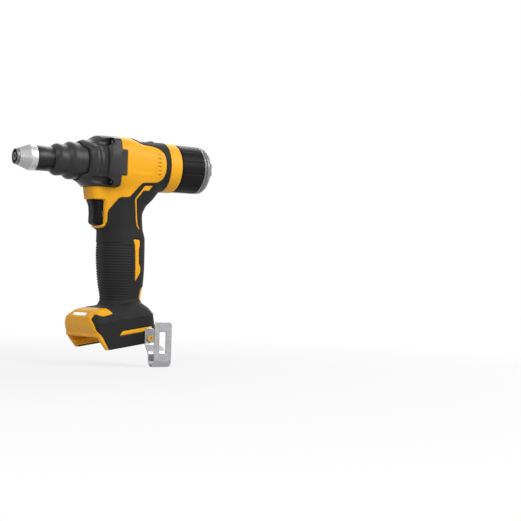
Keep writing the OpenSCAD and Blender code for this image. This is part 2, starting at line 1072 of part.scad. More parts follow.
module fan() {
    color("black")
        difference() {
            union() {
                rod_z(z_end - 13, z_end - 7, 5);
                for (i = [0:8])
                    translate([xm, 0, z_end - 12.5])
                        rotate([0, 0, 40 * i])
                            translate([3.6, -0.5, 0])
                                cube([motor_r - 6.2, 1, 5]);
            }
            rod_z(z_end - 20, z_end, 2.52);
        }
}

module motor_end_cap() {
    color("gray")
        difference() {
            rod_z(z_end - 22, z_end - 0.05, motor_r);
            rod_z(z_end - 16, z_end + 1, motor_r - 1.5);
            rod_z(z_end - 21.1, z_end - 10, 8.02);
            for (i = [0:3])
                translate([xm, 0, z_end - 12])
                    rotate([0, 0, 45 + 90 * i])
                        translate([0, -4, 0])
                            cube([40, 8, 7]);
        }
}

module motor_leads() {
    color("firebrick")
        for (y = [-6, 0, 6])
            translate([xm + 9, y, -166.2])
                cylinder(h = z_end - 22.1 + 166.2, r = 1.1);
}

// Shells, grips and what they carry
module housing_left() {
    color("gold")
        left_side()
            shells();
}

module housing_right() {
    color("gold")
        right_side()
            shells();
}

module grip_left() {
    color("black")
        left_side()
            overmould();
}

module grip_right() {
    color("black")
        right_side()
            overmould();
}

module housing_screws() {
    color("black")
        for (b = boss_at)
            translate([b[0], -8, b[1]])
                difference() {
                    union() {
                        rotate([90, 0, 0])
                            cylinder(h = 2.4, r = 2.8);
                        translate([0, 16, 0])
                            rotate([90, 0, 0])
                                cylinder(h = 16.2, r = 1.45);
                    }
                    translate([0, -1, 0])
                        rotate([90, 0, 0])
                            cylinder(h = 3, r = 1.4, $fn = 6);
                }
}

module rear_collar() {
    color("gold")
        turned_x([
            [x_ring - 0.05, head_r - 1.2],
            [x_cup + 0.8, head_r - 1.2],
            [x_cup, head_r - 2],
            [x_cup, neck_r],
            [x_cup + 4, neck_r],
            [x_cup + 4, neck_r + 1.5],
            [x_cup + 7.4, neck_r + 1.5],
            [x_cup + 7.4, neck_r],
            [x_ring - 2.5, neck_r],
            [x_ring - 2.5, 11.5],
            [x_cup + 1.4, 11.5],
            [x_cup + 1.4, 4.42],
            [x_cup + 3, 4.42],
            [x_cup + 3, rod_r + 0.45],
            [x_ring - 0.05, rod_r + 0.45]
        ]);
}

module container() {
    color("black")
        union() {
            turned_x([
                [x_cup + 9.5, neck_r - 1.7],
                [x_cup + 9.5, neck_r - run],
                [x_cup - 0.1, neck_r - run],
                [x_cup - 0.1, cup_r - 0.6],
                [x_cup - 0.7, cup_r],
                [x_cap + 0.6, cup_r],
                [x_cap, cup_r - 0.6],
                [x_cap, cup_r - 1.9],
                [x_cup - 2, cup_r - 1.9],
                [x_cup - 2, neck_r - 1.7]
            ]);
            for (i = [0:2])
                rotate([120 * i, 0, 0])
                    translate([x_cup + 4.4, 0, 0])
                        rotate([0, 90, 0])
                            rotate_extrude(angle = 20)
                                translate([neck_r - 0.9, 0])
                                    square([2, 2.6]);
        }
}

module container_cap() {
    color("whitesmoke")
        union() {
            turned_x([
                [x_cap + 5, cup_r - 3.2],
                [x_cap + 5, cup_r - 1.95],
                [x_cap - 0.05, cup_r - 1.95],
                [x_cap - 0.05, cup_r - 0.1],
                [x_cap - cap_len + 3, cup_r - 0.1],
                [x_cap - cap_len + 1, cup_r - 1.4],
                [x_cap - cap_len, cup_r - 3.4],
                [x_cap - cap_len, 0],
                [x_cap - cap_len + 2, 0],
                [x_cap - cap_len + 2, cup_r - 3.2]
            ]);
            box(x_cap - cap_len - 3, x_cap - cap_len + 1, -21, 21, -7, 7);
        }
}

module container_seal() {
    color("black")
        tube_x(x_ring - 2.6, x_cup + 9.55, neck_r - 0.4, neck_r - 1.6);
}

module top_bumper() {
    color("black")
        difference() {
            hull() {
                box(x_ring + 9.6, x_ring + 23.6, -8, 8, head_r - 7.5, head_r - 1.1);
                box(x_ring + 11.1, x_ring + 21.6, -6.5, 6.5, head_r - 7.5, head_r + 0.3);
            }
            head_body(0);
        }
}

module trigger() {
    color("black")
        union() {
            side_prism([
                [-79, -39.4],
                [x_pad, -39.4],
                [x_pad, -64.4],
                [-85.8, -64.6],
                [-83.6, -63.4],
                for (i = [0:8]) [-82.4 - 0.4 * sin(22.5 * i), -61 + 16 * i / 8]
            ], -trigger_hw, trigger_hw);
            translate([0, 0, -52])
                rod_x(x_pad + 1, x_switch + 1.3, 3);
        }
}

module trigger_spring() {
    color("silver")
        translate([0, 0, -52])
            coil_x(x_switch + 0.4, x_pad - 0.7, 4.4, 0.5, 4);
}

module switch_body() {
    color("dimgray")
        difference() {
            box(-102.3, x_switch - 0.4, -9.5, 9.5, -64, -40);
            translate([0, 0, -52])
                rod_x(x_switch + 4, -101.7, 3 + run);
        }
}

module control_board() {
    color("green")
        foot_frame()
            box(-26, 28, -insert_y + 2, insert_y - 2, 4.1, 5.7);
}

module blade_row(g) {
    for (y = [-9, -3, 3, 9])
        box(-5 - g, 11, y - 0.5 - g, y + 0.5 + g, -7 - g, -1.5 + g);
}

module terminal_block() {
    color("dimgray")
        foot_frame()
            difference() {
                box(-11.95, 2, -13, 13, -8.5, 1.35);
                blade_row(0.02);
            }
}

module terminal_blades() {
    color("goldenrod")
        foot_frame()
            blade_row(0);
}

module led_lens() {
    color("white")
        foot_frame()
            intersection() {
                lens_shape(0);
                foot_body(0);
                difference() {
                    box(-60, 60, -60, 60, 0, 60);
                    foot_body(wall + skin + 0.2);
                }
            }
}

module hook_inserts() {
    color("goldenrod")
        for (s = [-1, 1])
            translate([hook_screw_at[0], s * (insert_y + 0.1), hook_screw_at[1]])
                rotate([-90 * s, 0, 0])
                    difference() {
                        cylinder(h = foot_hw - insert_y - 0.2, r = hook_thread_r + 1.45);
                        translate([0, 0, -1])
                            cylinder(h = 20, r = hook_thread_r);
                    }
}

hook_y = foot_hw + hook_t / 2 + 0.05;
bend_r = (hook_out - 8) / 2;
hook_path = concat(
    [[hook_y, -168.5], [hook_y, -184], [hook_y + 1, -186.2], [hook_y + 6.6, -192.5], [hook_y + 7.8, -195]],
    [for (i = [0:8]) [hook_y + 8 + bend_r * (1 - cos(22.5 * i)), -201 - bend_r * sin(22.5 * i)]],
    [[hook_y + hook_out, -163.8]]
);

module belt_hook() {
    color("lightgray")
        difference() {
            translate([hook_x - hook_w, 0, 0])
                rotate([90, 0, 90])
                    linear_extrude(hook_w)
                        polygon(strip(hook_path, hook_t));
            box(hook_x - hook_w - 1, hook_x - 11, 0, hook_y + 3, -190, -150);
            box(hook_x - 13.4, hook_x - 5.6, hook_y + hook_out - 5, 90, -193.5, -172);
            translate([hook_screw_at[0], hook_y - hook_t, hook_screw_at[1]])
                rotate([-90, 0, 0])
                    cylinder(h = 2 * hook_t, r = hook_thread_r + 0.1);
        }
}

module hook_screw() {
    color("goldenrod")
        translate([hook_screw_at[0], hook_y + hook_t / 2 + 0.02, hook_screw_at[1]])
            rotate([-90, 0, 0])
                difference() {
                    union() {
                        cylinder(h = 2, r = 3.4);
                        translate([0, 0, -9])
                            cylinder(h = 9.1, r = hook_thread_r - 0.05);
                    }
                    translate([0, 0, 0.8])
                        cylinder(h = 3, r = 1.6, $fn = 6);
                }
}

// What is drawn

// Moves a piece so that the tip's front face is the origin
module placed() {
    translate([-x_tip, 0, 0])
        children();
}

placed() nose_tip();
placed() nose_collar();
placed() nose_tube();
placed() nose_housing();
placed() front_case();
placed() case_screws();
placed() jaw_case();
placed() jaw_1();
placed() jaw_2();
placed() jaw_3();
placed() jaw_pusher();
placed() pusher_spring();
placed() draw_rod();
placed() mandrel_tube();
placed() ball_nut();
placed() face_gear();
placed() nut_bearings();
placed() bearing_plate();
placed() drive_pinion();
placed() planet_carrier();
placed() pinion_bearing();
placed() planet_1();
placed() planet_2();
placed() planet_3();
placed() sun_gear();
placed() ring_gear();
placed() gearbox_housing();
placed() motor_plate();
placed() motor_bearings();
placed() stator_core();
placed() stator_coils();
placed() rotor_core();
placed() motor_shaft();
placed() fan();
placed() motor_end_cap();
placed() motor_leads();
placed() housing_left();
placed() housing_right();
placed() grip_left();
placed() grip_right();
placed() housing_screws();
placed() rear_collar();
placed() container();
placed() container_cap();
placed() container_seal();
placed() top_bumper();
placed() trigger();
placed() trigger_spring();
placed() switch_body();
placed() control_board();
placed() terminal_block();
placed() terminal_blades();
placed() led_lens();
placed() hook_inserts();
placed() belt_hook();
placed() hook_screw();
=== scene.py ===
import math

import bpy
import numpy as np
from mathutils import Matrix, Vector


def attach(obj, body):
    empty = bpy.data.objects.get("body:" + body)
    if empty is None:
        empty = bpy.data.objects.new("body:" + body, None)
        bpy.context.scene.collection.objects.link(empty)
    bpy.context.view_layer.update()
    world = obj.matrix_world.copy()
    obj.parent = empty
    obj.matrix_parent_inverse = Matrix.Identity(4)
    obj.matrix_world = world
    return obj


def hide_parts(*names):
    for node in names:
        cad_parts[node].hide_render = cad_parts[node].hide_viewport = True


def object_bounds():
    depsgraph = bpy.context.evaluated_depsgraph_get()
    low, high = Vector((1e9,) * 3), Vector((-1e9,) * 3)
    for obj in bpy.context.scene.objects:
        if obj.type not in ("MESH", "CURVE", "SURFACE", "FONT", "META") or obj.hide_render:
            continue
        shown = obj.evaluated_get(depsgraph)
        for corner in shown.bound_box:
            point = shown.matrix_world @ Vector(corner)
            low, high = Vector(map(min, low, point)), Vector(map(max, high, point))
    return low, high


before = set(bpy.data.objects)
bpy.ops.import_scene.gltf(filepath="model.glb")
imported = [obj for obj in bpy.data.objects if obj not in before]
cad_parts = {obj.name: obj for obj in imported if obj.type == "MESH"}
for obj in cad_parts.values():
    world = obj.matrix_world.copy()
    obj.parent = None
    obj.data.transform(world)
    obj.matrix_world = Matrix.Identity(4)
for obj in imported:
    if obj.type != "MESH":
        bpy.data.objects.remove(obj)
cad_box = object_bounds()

# Stations along the tool and main sizes, in millimetres; the tip's front face is X_TIP
MM = 0.001
X_TIP = 3.5
X_COLLAR = -4.0
X_CONE = X_COLLAR + 4.6
X_TUBE = -17.5
X_STEP1 = -35.5
STEP_LEN = 13.7
X_STEP2 = X_STEP1 - STEP_LEN
X_STEP3 = X_STEP2 - STEP_LEN
X_CASE = X_STEP3 - STEP_LEN
X_SPLIT = -102.6
X_RING = -161.1
X_CUP = -175.1
X_CAP = -203.1
CAP_LEN = 8.0
TIP_R = 8.0
BORE_R = 2.4
COLLAR_R = 13.0
TUBE_R = 12.6
STEP_R = (16.5, 19.4)
HEAD_R = 27.5
ROOM_R = 23.3
RING_R = 26.3
NECK_R = 22.9
CUP_R = 25.3
EAR = 19.6
CASE_FLOOR = -24.9
SKIN = 1.6
WALL = 2.8
PROUD = 0.25
SEAM = 0.04
HANDLE_BLEND = 5
SHELF_JOIN = 3
HOLLOW_FLOOR = 4

# The foot's own frame: where it sits and how far it tips nose down
FOOT_X = -112.0
FOOT_Z = -172.0
FOOT_TILT = math.radians(9)
FOOT_HW = 37.5
FOOT_SIDE = FOOT_HW - 0.02
# How much the leaning walls above the foot's shoulder shorten a distance to them
FOOT_LEAN = 0.72
FOOT_SHOULDER = (20, 12)

# Battery bay in the foot's frame: half width, rear end and ceiling; the rails that carry the pack
BAY_HW = 32.5
BAY_REAR = -12
BAY_TOP = 1.4
BAY_SILL_X = 34
BAY_SILL_Z = -1.5
RAIL_W = 3
RAIL_FRONT = 30
RAIL_BASE, RAIL_TOP = -10, -7

# Handle: height, front X, rear X, half width, squareness
HANDLE_ROWS = [
    [-12, -93, -158, 24, 2.6],
    [-20, -91.5, -158.5, 23, 2.6],
    [-27, -91, -156.4, 21.5, 2.5],
    [-35, -90.8, -150.6, 20.5, 2.5],
    [-40, -91.1, -145.2, 20, 2.5],
    [-43, -91.3, -142.3, 19.8, 2.5],
    [-53, -91.5, -138.2, 19.5, 2.5],
    [-66, -91.6, -139.2, 19.5, 2.5],
    [-78, -91.9, -142, 20.4, 2.5],
    [-92, -91.4, -142.1, 21, 2.5],
    [-107, -92.2, -142.2, 20.6, 2.5],
    [-125, -94.2, -141.3, 19.4, 2.5],
    [-140, -96.8, -139.2, 18.6, 2.5],
    [-148, -96, -141, 20.5, 2.6],
    [-156, -91, -146, 26, 2.8],
]
# Head: X, half width, height above the axis, squareness
HEAD_ROWS = [
    [X_SPLIT, HEAD_R, HEAD_R + 1, 3],
    [X_SPLIT - 10, HEAD_R - 0.2, HEAD_R + 1.2, 2.9],
    [X_SPLIT - 20, HEAD_R - 0.6, HEAD_R + 0.6, 2.7],
    [X_SPLIT - 30, HEAD_R - 1, HEAD_R - 2, 2.5],
    [X_SPLIT - 42, HEAD_R - 1.2, HEAD_R - 1.8, 2.4],
    [X_RING, RING_R, RING_R, 2.2],
]
# Trigger shelf, the strip behind the trigger and the lip under it: height, front X, half width
SHELF_ROWS = [[-38.5, -77.4, 12.8], [-18, -74.9, 14.8]]
STRIP_ROWS = [[-63, -90.4, 14], [-30, -90.4, 14]]
LIP_ROWS = [
    [-69.4, -95, 9], [-68.6, -90.6, 11], [-67.2, -87.4, 12.2], [-65.2, -85.4, 13], [-62.6, -90.4, 14],
]
SHELF_SQUARENESS = (5, 5, 3.2)
SHELF_REAR = -118.0
SHELF_BLEND = 1.5
# Foot, in its own frame: height, rear X, front X, half width, rear and front corner radius
FOOT_ROWS = [
    [-15.6, -33.5, 41, FOOT_SIDE, 14, 4],
    [-1, -33.5, 41, FOOT_SIDE, 14, 5],
    [13, -33.5, 41, FOOT_SIDE, 14, 7.5],
    [19.6, -30, 40.6, 33, 12, 7],
    [26, -25, 32.2, 26, 11, 7],
]
# The foot's sloped front, and the roll along the lip at its lower edge
FOOT_CUT = [(42.2, 14.2), (36.6, -1.8), (20.8, -30.0)]
FOOT_ROLL_AT = (37.3, 0.4)
FOOT_ROLL_R = 1.8
FOOT_ROLL_INSET = 3

# Side outlines of the rubber and of the yellow shapes that show through it
GRIP_OUTLINE = [
    (-70, -69.4), (-91.5, -67.2), (-94.5, -61), (-94.5, -50), (-105, -35.4), (-116, -34.7),
    (-129, -19.3), (-148, -17.9), (-153, -14), (-155.4, -6), (-155.4, 6), (-153.5, 13),
    (-149, 17.6), (-142, 19.8), (-129, 21), (-122, 24.5), (-117, 30), (-116, 40), (-170, 40),
    (-170, -148), (-70, -148),
]
ACCENT_OUTLINE = [
    (-132.5, -22.1), (-142.3, -21.5), (-138.5, -26.9), (-131.6, -27.2), (-124.2, -36.6),
    (-127.4, -62.6), (-130.6, -67), (-129.4, -67.8), (-125.6, -63.4), (-122.2, -36.4),
]
INSERT_OUTLINE = [
    (-121.8, -78.2), (-128.5, -78), (-130.2, -80), (-130, -85), (-128.6, -88), (-129.4, -103),
    (-132, -107.5), (-131.8, -112), (-126.2, -121), (-125.2, -119), (-124.4, -100), (-123.4, -84),
]
FOOT_OUTLINE = [
    (-60, 40), (23, 40), (20.5, 28.6), (18.2, 26), (14.8, 20.8), (15.6, 19.6), (27, 18.6), (32.6, 21.6),
    (34.2, 21.4), (38.4, 17.6), (36.6, 5), (31.8, -1.4), (26.9, -14), (20.8, -30), (-60, -30),
]
STRIPE_OUTLINE = [(12.7, -2.9), (9.0, 1.2), (-25.6, 1.2), (-25.6, -2.9)]
RIB_OUTLINE = [
    (-70, -81.5), (-104, -81.5), (-114, -83.6), (-120.6, -82.4), (-122.4, -88), (-123.6, -119),
    (-116, -132), (-113, -143), (-70, -143),
]
RIB_PITCH = 2.8
RIB_DEPTH = 0.4
RIB_BED = 0.25
RIB_UNDERCUT = 0.6
RIB_DEEPENS = (-104, -96)
# How far from the middle plane the yellow shapes begin, and where the foot's rubber ends on top
WINDOW_IN = 8
STRIPE_IN = 25
FOOT_RUBBER_TOP = 30
RUBBER_GAP = 0.12
# The yellow block at the back of the handle: two corners and an edge radius
TAIL_LOW, TAIL_HIGH = (-170, -9, -145), (-128, 11.4, -131)
TAIL_R = 3.4

# Housing screws and the hook's screw: place, radius of the room, and where that begins
BOSS_AT = [(-97.5, -32.6), (-141, -32.5), (-97.6, -72), (-118.0, -137)]
BOSS_R = 3.1
BOSS_IN = 8
HOOK_SCREW = (-133.6, -179.4)
HOOK_SCREW_R = 3.5
HOOK_SCREW_IN = 27

# Lens of the work light in the foot's frame: place, lean, radius of its ends, half length, depth
LENS_AT = (36.8, 22.9)
LENS_LEAN = math.radians(37)
LENS_R = 2.0
LENS_HALF = 15
LENS_DEPTH = 5
LENS_GAP = 0.3

# Vent slits ahead of the rear collar
VENT_X = -147.2
VENT_HALF_LEN = 1.9
VENT_Z = -10.1
VENT_PITCH = 4.2
VENT_HALF = 0.75
VENT_MIDDLE = 0.4
VENT_REACH = 12.3
VENT_DEPTH = 1.4

# Slot for the trigger, and its taller part behind the shelf
SLOT_HW = 9.4
SLOT_REAR = -98
SLOT_BASE, SLOT_TOP = -64.9, -38.4
SLOT_STEP_X = -80
SLOT_STEP_TOP = -36.9
# Half height of the front case's tab in each shell, and of the pocket that takes it
TAB_HALF = 12.6
POCKET_HALF = TAB_HALF + 0.6

# The camera, level but for a small roll, looking slightly up
SENSOR = 36.0
IMAGE_SIZE = 521
FOCAL_PIXELS = 1300.0
EYE = Vector((514.1 - X_TIP, 1209.3, -122.3))
AZIMUTH = math.radians(33.73)
ELEVATION = math.radians(-1.1)
ROLL = math.radians(1.46)


# Distance fields: negative inside, in millimetres
def round_union(a, b, k):
    """Both forms as one, with a fillet about k wide where they meet."""
    h = np.clip(0.5 + 0.5 * (b - a) / k, 0, 1)
    return b + (a - b) * h - k * h * (1 - h)


def round_overlap(a, b, k):
    return -round_union(-a, -b, k)


def round_cut(a, b, k):
    """a with b taken away, its new edges rounded."""
    return round_overlap(a, -b, k)


def slab(value, low, high):
    """Inside between two parallel planes."""
    return np.maximum(low - value, value - high)


def square_overlap(a, b):
    """Inside both, with true distances round the corner that they share."""
    return np.minimum(np.maximum(a, b), 0) + np.hypot(np.maximum(a, 0), np.maximum(b, 0))


def ease(value, low, high):
    t = np.clip((value - low) / (high - low), 0, 1)
    return t * t * (3 - 2 * t)


def smooth_table(rows, count=240):
    """Rows of station and values as a dense table, joined by curves that don't overshoot."""
    rows = np.array(sorted(rows), float)
    at = rows[:, 0]
    dense = np.linspace(at[0], at[-1], count)
    piece = np.clip(np.searchsorted(at, dense, side="right") - 1, 0, len(at) - 2)
    width = at[piece + 1] - at[piece]
    t = (dense - at[piece]) / width
    table = [dense]
    for values in rows[:, 1:].T:
        slope = np.diff(values) / np.diff(at)
        tangent = np.concatenate([slope[:1], np.zeros(len(at) - 2), slope[-1:]])
        steady = slope[:-1] * slope[1:] > 0
        total = np.where(steady, slope[:-1] + slope[1:], 1)
        tangent[1:-1] = np.where(steady, 2 * slope[:-1] * slope[1:] / total, 0)
        start, end = values[piece], values[piece + 1]
        rise = 3 * t ** 2 - 2 * t ** 3
        bend = width * (t * (1 - t) ** 2 * tangent[piece] - t ** 2 * (1 - t) * tangent[piece + 1])
        table.append(start + (end - start) * rise + bend)
    return np.array(table)


def look_up(table, at):
    return [np.interp(at, table[0], column) for column in table[1:]]


def section_distance(u, v, a, b, n):
    """Distance to a superellipse of half sizes a and b, along the radius."""
    u = np.abs(u) + 1e-4
    v = np.abs(v)
    f = ((u / a) ** n + (v / b) ** n) ** (1 / n)
    return np.hypot(u, v) * (1 - 1 / f)


def box_distance(x, y, z, low, high):
    q = [np.maximum(l - p, p - h) for p, l, h in zip((x, y, z), low, high)]
    inside = np.minimum(np.maximum(np.maximum(q[0], q[1]), q[2]), 0)
    return inside + np.sqrt(sum(np.maximum(p, 0) ** 2 for p in q))


def polygon_distance(u, v, outline):
    nearest = np.full(np.shape(u), 1e9)
    inside = np.zeros(np.shape(u), bool)
    for (ax, ay), (bx, by) in zip(outline, outline[1:] + outline[:1]):
        ex, ey = bx - ax, by - ay
        t = np.clip(((u - ax) * ex + (v - ay) * ey) / (ex * ex + ey * ey), 0, 1)
        nearest = np.minimum(nearest, (u - ax - t * ex) ** 2 + (v - ay - t * ey) ** 2)
        if ay != by:
            inside ^= ((ay > v) != (by > v)) & (u < ex * (v - ay) / ey + ax)
    return np.where(inside, -1, 1) * np.sqrt(nearest)


# The largest share of a side that a rounded corner may use, in outlines and in turned profiles
OUTLINE_SHARE = 0.45
PROFILE_SHARE = 0.48


def corner_curve(before, corner, after, radius, share, steps):
    """A curve that cuts a corner from radius away, but uses at most a share of each side."""
    back, ahead = before - corner, after - corner
    start = corner + back.normalized() * min(radius, share * back.length)
    end = corner + ahead.normalized() * min(radius, share * ahead.length)
    stations = [i / steps for i in range(steps + 1)]
    return [start * (1 - t) ** 2 + corner * 2 * t * (1 - t) + end * t ** 2 for t in stations]


def filleted(outline, radius, steps=5):
    """The outline with each corner replaced by a curve that starts radius away from it."""
    points = [Vector(p) for p in outline]
    rounded = []
    for before, corner, after in zip(points[-1:] + points[:-1], points, points[1:] + points[:1]):
        rounded += [(p.x, p.y) for p in corner_curve(before, corner, after, radius, OUTLINE_SHARE, steps)]
    return rounded


class SideMap:
    """Distances to a side outline, worked out once on a fine grid in X and Z."""

    def __init__(self, outline, radius, low, high, step=0.3):
        self.low = np.array(low, float)
        self.step = step
        counts = np.ceil((np.array(high) - self.low) / step).astype(int) + 2
        u, v = np.meshgrid(*[self.low[i] + step * np.arange(counts[i]) for i in (0, 1)], indexing="ij")
        self.grid = polygon_distance(u, v, filleted(outline, radius))

    def __call__(self, u, v):
        s = np.clip((u - self.low[0]) / self.step, 0, self.grid.shape[0] - 1.001)
        t = np.clip((v - self.low[1]) / self.step, 0, self.grid.shape[1] - 1.001)
        i, j = s.astype(int), t.astype(int)
        s, t = s - i, t - j
        near = self.grid[i, j] * (1 - t) + self.grid[i, j + 1] * t
        far = self.grid[i + 1, j] * (1 - t) + self.grid[i + 1, j + 1] * t
        return near * (1 - s) + far * s


HEAD_TABLE = smooth_table(HEAD_ROWS)
HANDLE_TABLE = smooth_table(HANDLE_ROWS)
SHELF_TABLES = [smooth_table(rows) for rows in (SHELF_ROWS, STRIP_ROWS, LIP_ROWS)]
FOOT_TABLE = np.array(FOOT_ROWS, float).T
BODY_LOW, BODY_HIGH = (-166, -196), (-62, 34)
FOOT_LOW, FOOT_HIGH = (-40, -24), (46, 34)
GRIP_MAP = SideMap(GRIP_OUTLINE, 2.5, BODY_LOW, BODY_HIGH)
ACCENT_MAP = SideMap(ACCENT_OUTLINE, 0.6, BODY_LOW, BODY_HIGH)
INSERT_MAP = SideMap(INSERT_OUTLINE, 0.8, BODY_LOW, BODY_HIGH)
RIB_MAP = SideMap(RIB_OUTLINE, 4, BODY_LOW, BODY_HIGH)
FOOT_MAP = SideMap(FOOT_OUTLINE, 1.6, FOOT_LOW, FOOT_HIGH)
STRIPE_MAP = SideMap(STRIPE_OUTLINE, 0.5, FOOT_LOW, FOOT_HIGH)


def to_foot(x, z):
    c, s = math.cos(FOOT_TILT), math.sin(FOOT_TILT)
    return (x - FOOT_X) * c - (z - FOOT_Z) * s, (x - FOOT_X) * s + (z - FOOT_Z) * c


def head_form(x, y, z):
    half, up, n = look_up(HEAD_TABLE, x)
    section = section_distance(y, z, half, np.where(z > 0, up, half), n)
    return np.maximum(section, slab(x, X_RING, X_SPLIT))


def handle_form(x, y, z):
    front, rear, half, n = look_up(HANDLE_TABLE, z)
    section = section_distance(x - (front + rear) / 2, y, (front - rear) / 2, half, n)
    return np.maximum(section, slab(z, HANDLE_ROWS[-1][0], HANDLE_ROWS[0][0]))


def shelf_form(x, y, z):
    forms = []
    for table, square in zip(SHELF_TABLES, SHELF_SQUARENESS):
        front, half = look_up(table, z)
        section = section_distance(x - (front + SHELF_REAR) / 2, y, (front - SHELF_REAR) / 2, half, square)
        forms.append(round_overlap(section, slab(z, table[0][0], table[0][-1]), SHELF_BLEND))
    shelf, strip, lip = forms
    return round_union(round_union(shelf, strip, SHELF_BLEND), lip, SHELF_BLEND)


def foot_form(x, y, z):
    u, w = to_foot(x, z)
    rear, front, half, rear_r, front_r = look_up(FOOT_TABLE, w)
    middle = (rear + front) / 2
    r = np.where(u > middle, front_r, rear_r)
    qu = np.abs(u - middle) - (front - rear) / 2 + r
    qv = np.abs(y) - half + r
    plan = square_overlap(qu, qv) - r
    bevel = round_overlap(np.maximum(qu, qv) - r, (qu + qv - r) * math.sqrt(0.5), 1.2)
    plan = np.where(u > middle, bevel, plan)
    slope = FOOT_LEAN + (1 - FOOT_LEAN) * ease(w, *FOOT_SHOULDER)
    form = round_overlap(plan * slope, slab(w, FOOT_ROWS[0][0], FOOT_ROWS[-1][0]), 2)
    for (ua, wa), (ub, wb) in zip(FOOT_CUT, FOOT_CUT[1:]):
        ahead = ((u - ua) * (wa - wb) + (w - wa) * (ub - ua)) / math.hypot(ub - ua, wb - wa)
        form = round_overlap(form, ahead, 0.8)
    roll = np.hypot(u - FOOT_ROLL_AT[0], w - FOOT_ROLL_AT[1]) - FOOT_ROLL_R
    return round_union(form, np.maximum(roll, np.abs(y) - half + FOOT_ROLL_INSET), 1.5)


def body_form(x, y, z):
    """The whole body as one smooth form, before it is split into shells and rubber."""
    form = round_union(head_form(x, y, z), handle_form(x, y, z), HANDLE_BLEND)
    form = round_union(form, shelf_form(x, y, z), SHELF_JOIN)
    return round_union(form, foot_form(x, y, z), HANDLE_BLEND)


def rubber_region(x, y, z):
    """Negative where the outer layer is rubber and not yellow plastic."""
    side = np.abs(y)
    windows = np.minimum(ACCENT_MAP(x, z), INSERT_MAP(x, z))
    upper = np.maximum(GRIP_MAP(x, z), -np.maximum(windows, WINDOW_IN - side))
    tail = box_distance(x, side, z, TAIL_LOW, TAIL_HIGH) - TAIL_R
    u, w = to_foot(x, z)
    lower = np.maximum(FOOT_MAP(u, w), -np.maximum(STRIPE_MAP(u, w), STRIPE_IN - side))
    lower = np.maximum(lower, w - FOOT_RUBBER_TOP)
    return np.maximum(np.minimum(upper, lower), -tail)


def rib_zone(x, z):
    """1 where the handle is ribbed, 0 elsewhere."""
    return ease(RIB_MAP(x, z), 0.4, -1.2)


def grip_ribs(x, z):
    """How far the rubber is cut back by the fine ribs across the front of the handle."""
    zone = rib_zone(x, z)
    wave = 0.5 - 0.5 * np.cos(2 * math.pi * z / RIB_PITCH)
    depth = RIB_DEPTH * (1 + ease(x, *RIB_DEEPENS))
    return zone * (RIB_BED + depth * wave)


def battery_bay(x, y, z):
    u, w = to_foot(x, z)
    bay = box_distance(u, y, w, (BAY_REAR, -BAY_HW, -60), (80, BAY_HW, BAY_TOP))
    sill = box_distance(u, y, w, (BAY_SILL_X, -60, BAY_SILL_Z), (90, 60, 9))
    rail = box_distance(u, np.abs(y), w, (-60, BAY_HW - RAIL_W, RAIL_BASE), (RAIL_FRONT, 60, RAIL_TOP))
    return round_cut(round_cut(bay, sill, 0.6), rail, 0.4)


def lens_slot(x, y, z, gap):
    u, w = to_foot(x, z)
    u, w = u - LENS_AT[0], w - LENS_AT[1]
    across = u * math.cos(LENS_LEAN) - w * math.sin(LENS_LEAN)
    along = u * math.sin(LENS_LEAN) + w * math.cos(LENS_LEAN)
    past_middle = np.maximum(np.abs(y) - LENS_HALF + LENS_R, 0)
    return np.maximum(np.hypot(across, past_middle) - LENS_R - gap, np.abs(along) - LENS_DEPTH)


def screw_wells(x, y, z):
    wells = [np.hypot(x - bx, z - bz) - BOSS_R for bx, bz in BOSS_AT]
    return np.maximum(np.minimum.reduce(wells), BOSS_IN - np.abs(y))


def hook_screw_room(x, y, z):
    return np.maximum(np.hypot(x - HOOK_SCREW[0], z - HOOK_SCREW[1]) - HOOK_SCREW_R, HOOK_SCREW_IN - y)


def head_room(x, y, z):
    """The round room in the head for the drive, open to the rear collar."""
    return np.maximum(np.hypot(y, z) - ROOM_R, X_RING - 1 - x)


def trigger_slot(x, y, z):
    low = box_distance(x, y, z, (SLOT_REAR, -SLOT_HW, SLOT_BASE), (-50, SLOT_HW, SLOT_TOP))
    step = box_distance(x, y, z, (SLOT_REAR, -SLOT_HW, -42), (SLOT_STEP_X, SLOT_HW, SLOT_STEP_TOP))
    return np.minimum(low, step)


def shell_form(x, y, z):
    """One yellow shell on the +Y side."""
    form = body_form(x, y, z)
    region = rubber_region(x, y, z)
    w = to_foot(x, z)[1]
    under = form + SKIN + RIB_UNDERCUT * rib_zone(x, z)
    shell = round_overlap(form + PROUD, np.minimum(under, -region), 0.5)
    hollow = np.maximum(under + WALL - SKIN, HOLLOW_FLOOR - w)
    shell = round_cut(shell, hollow, 0.4)
    shell = round_cut(shell, np.maximum(X_SPLIT - 0.1 - x, CASE_FLOOR - 0.1 - z), 0.8)
    shell = np.maximum(shell, -head_room(x, y, z))
    shell = round_cut(shell, trigger_slot(x, y, z), 0.3)
    pocket = box_distance(x, y, z, (X_SPLIT - 6.2, HEAD_R - 3, -POCKET_HALF), (-90, 60, POCKET_HALF))
    shell = round_cut(shell, pocket, 0.4)
    shell = round_cut(shell, battery_bay(x, y, z), 0.8)
    shell = np.maximum(shell, -lens_slot(x, y, z, LENS_GAP))
    vents = np.abs((z - VENT_Z + VENT_PITCH / 2) % VENT_PITCH - VENT_PITCH / 2) - VENT_HALF
    patch = np.maximum(np.abs(x - VENT_X) - VENT_HALF_LEN, np.abs(z - VENT_MIDDLE) - VENT_REACH)
    shell = round_cut(shell, np.maximum(np.maximum(vents, patch), -form - VENT_DEPTH), 0.4)
    shell = np.maximum(shell, -hook_screw_room(x, y, z))
    return round_overlap(shell, SEAM - y, 0.5)


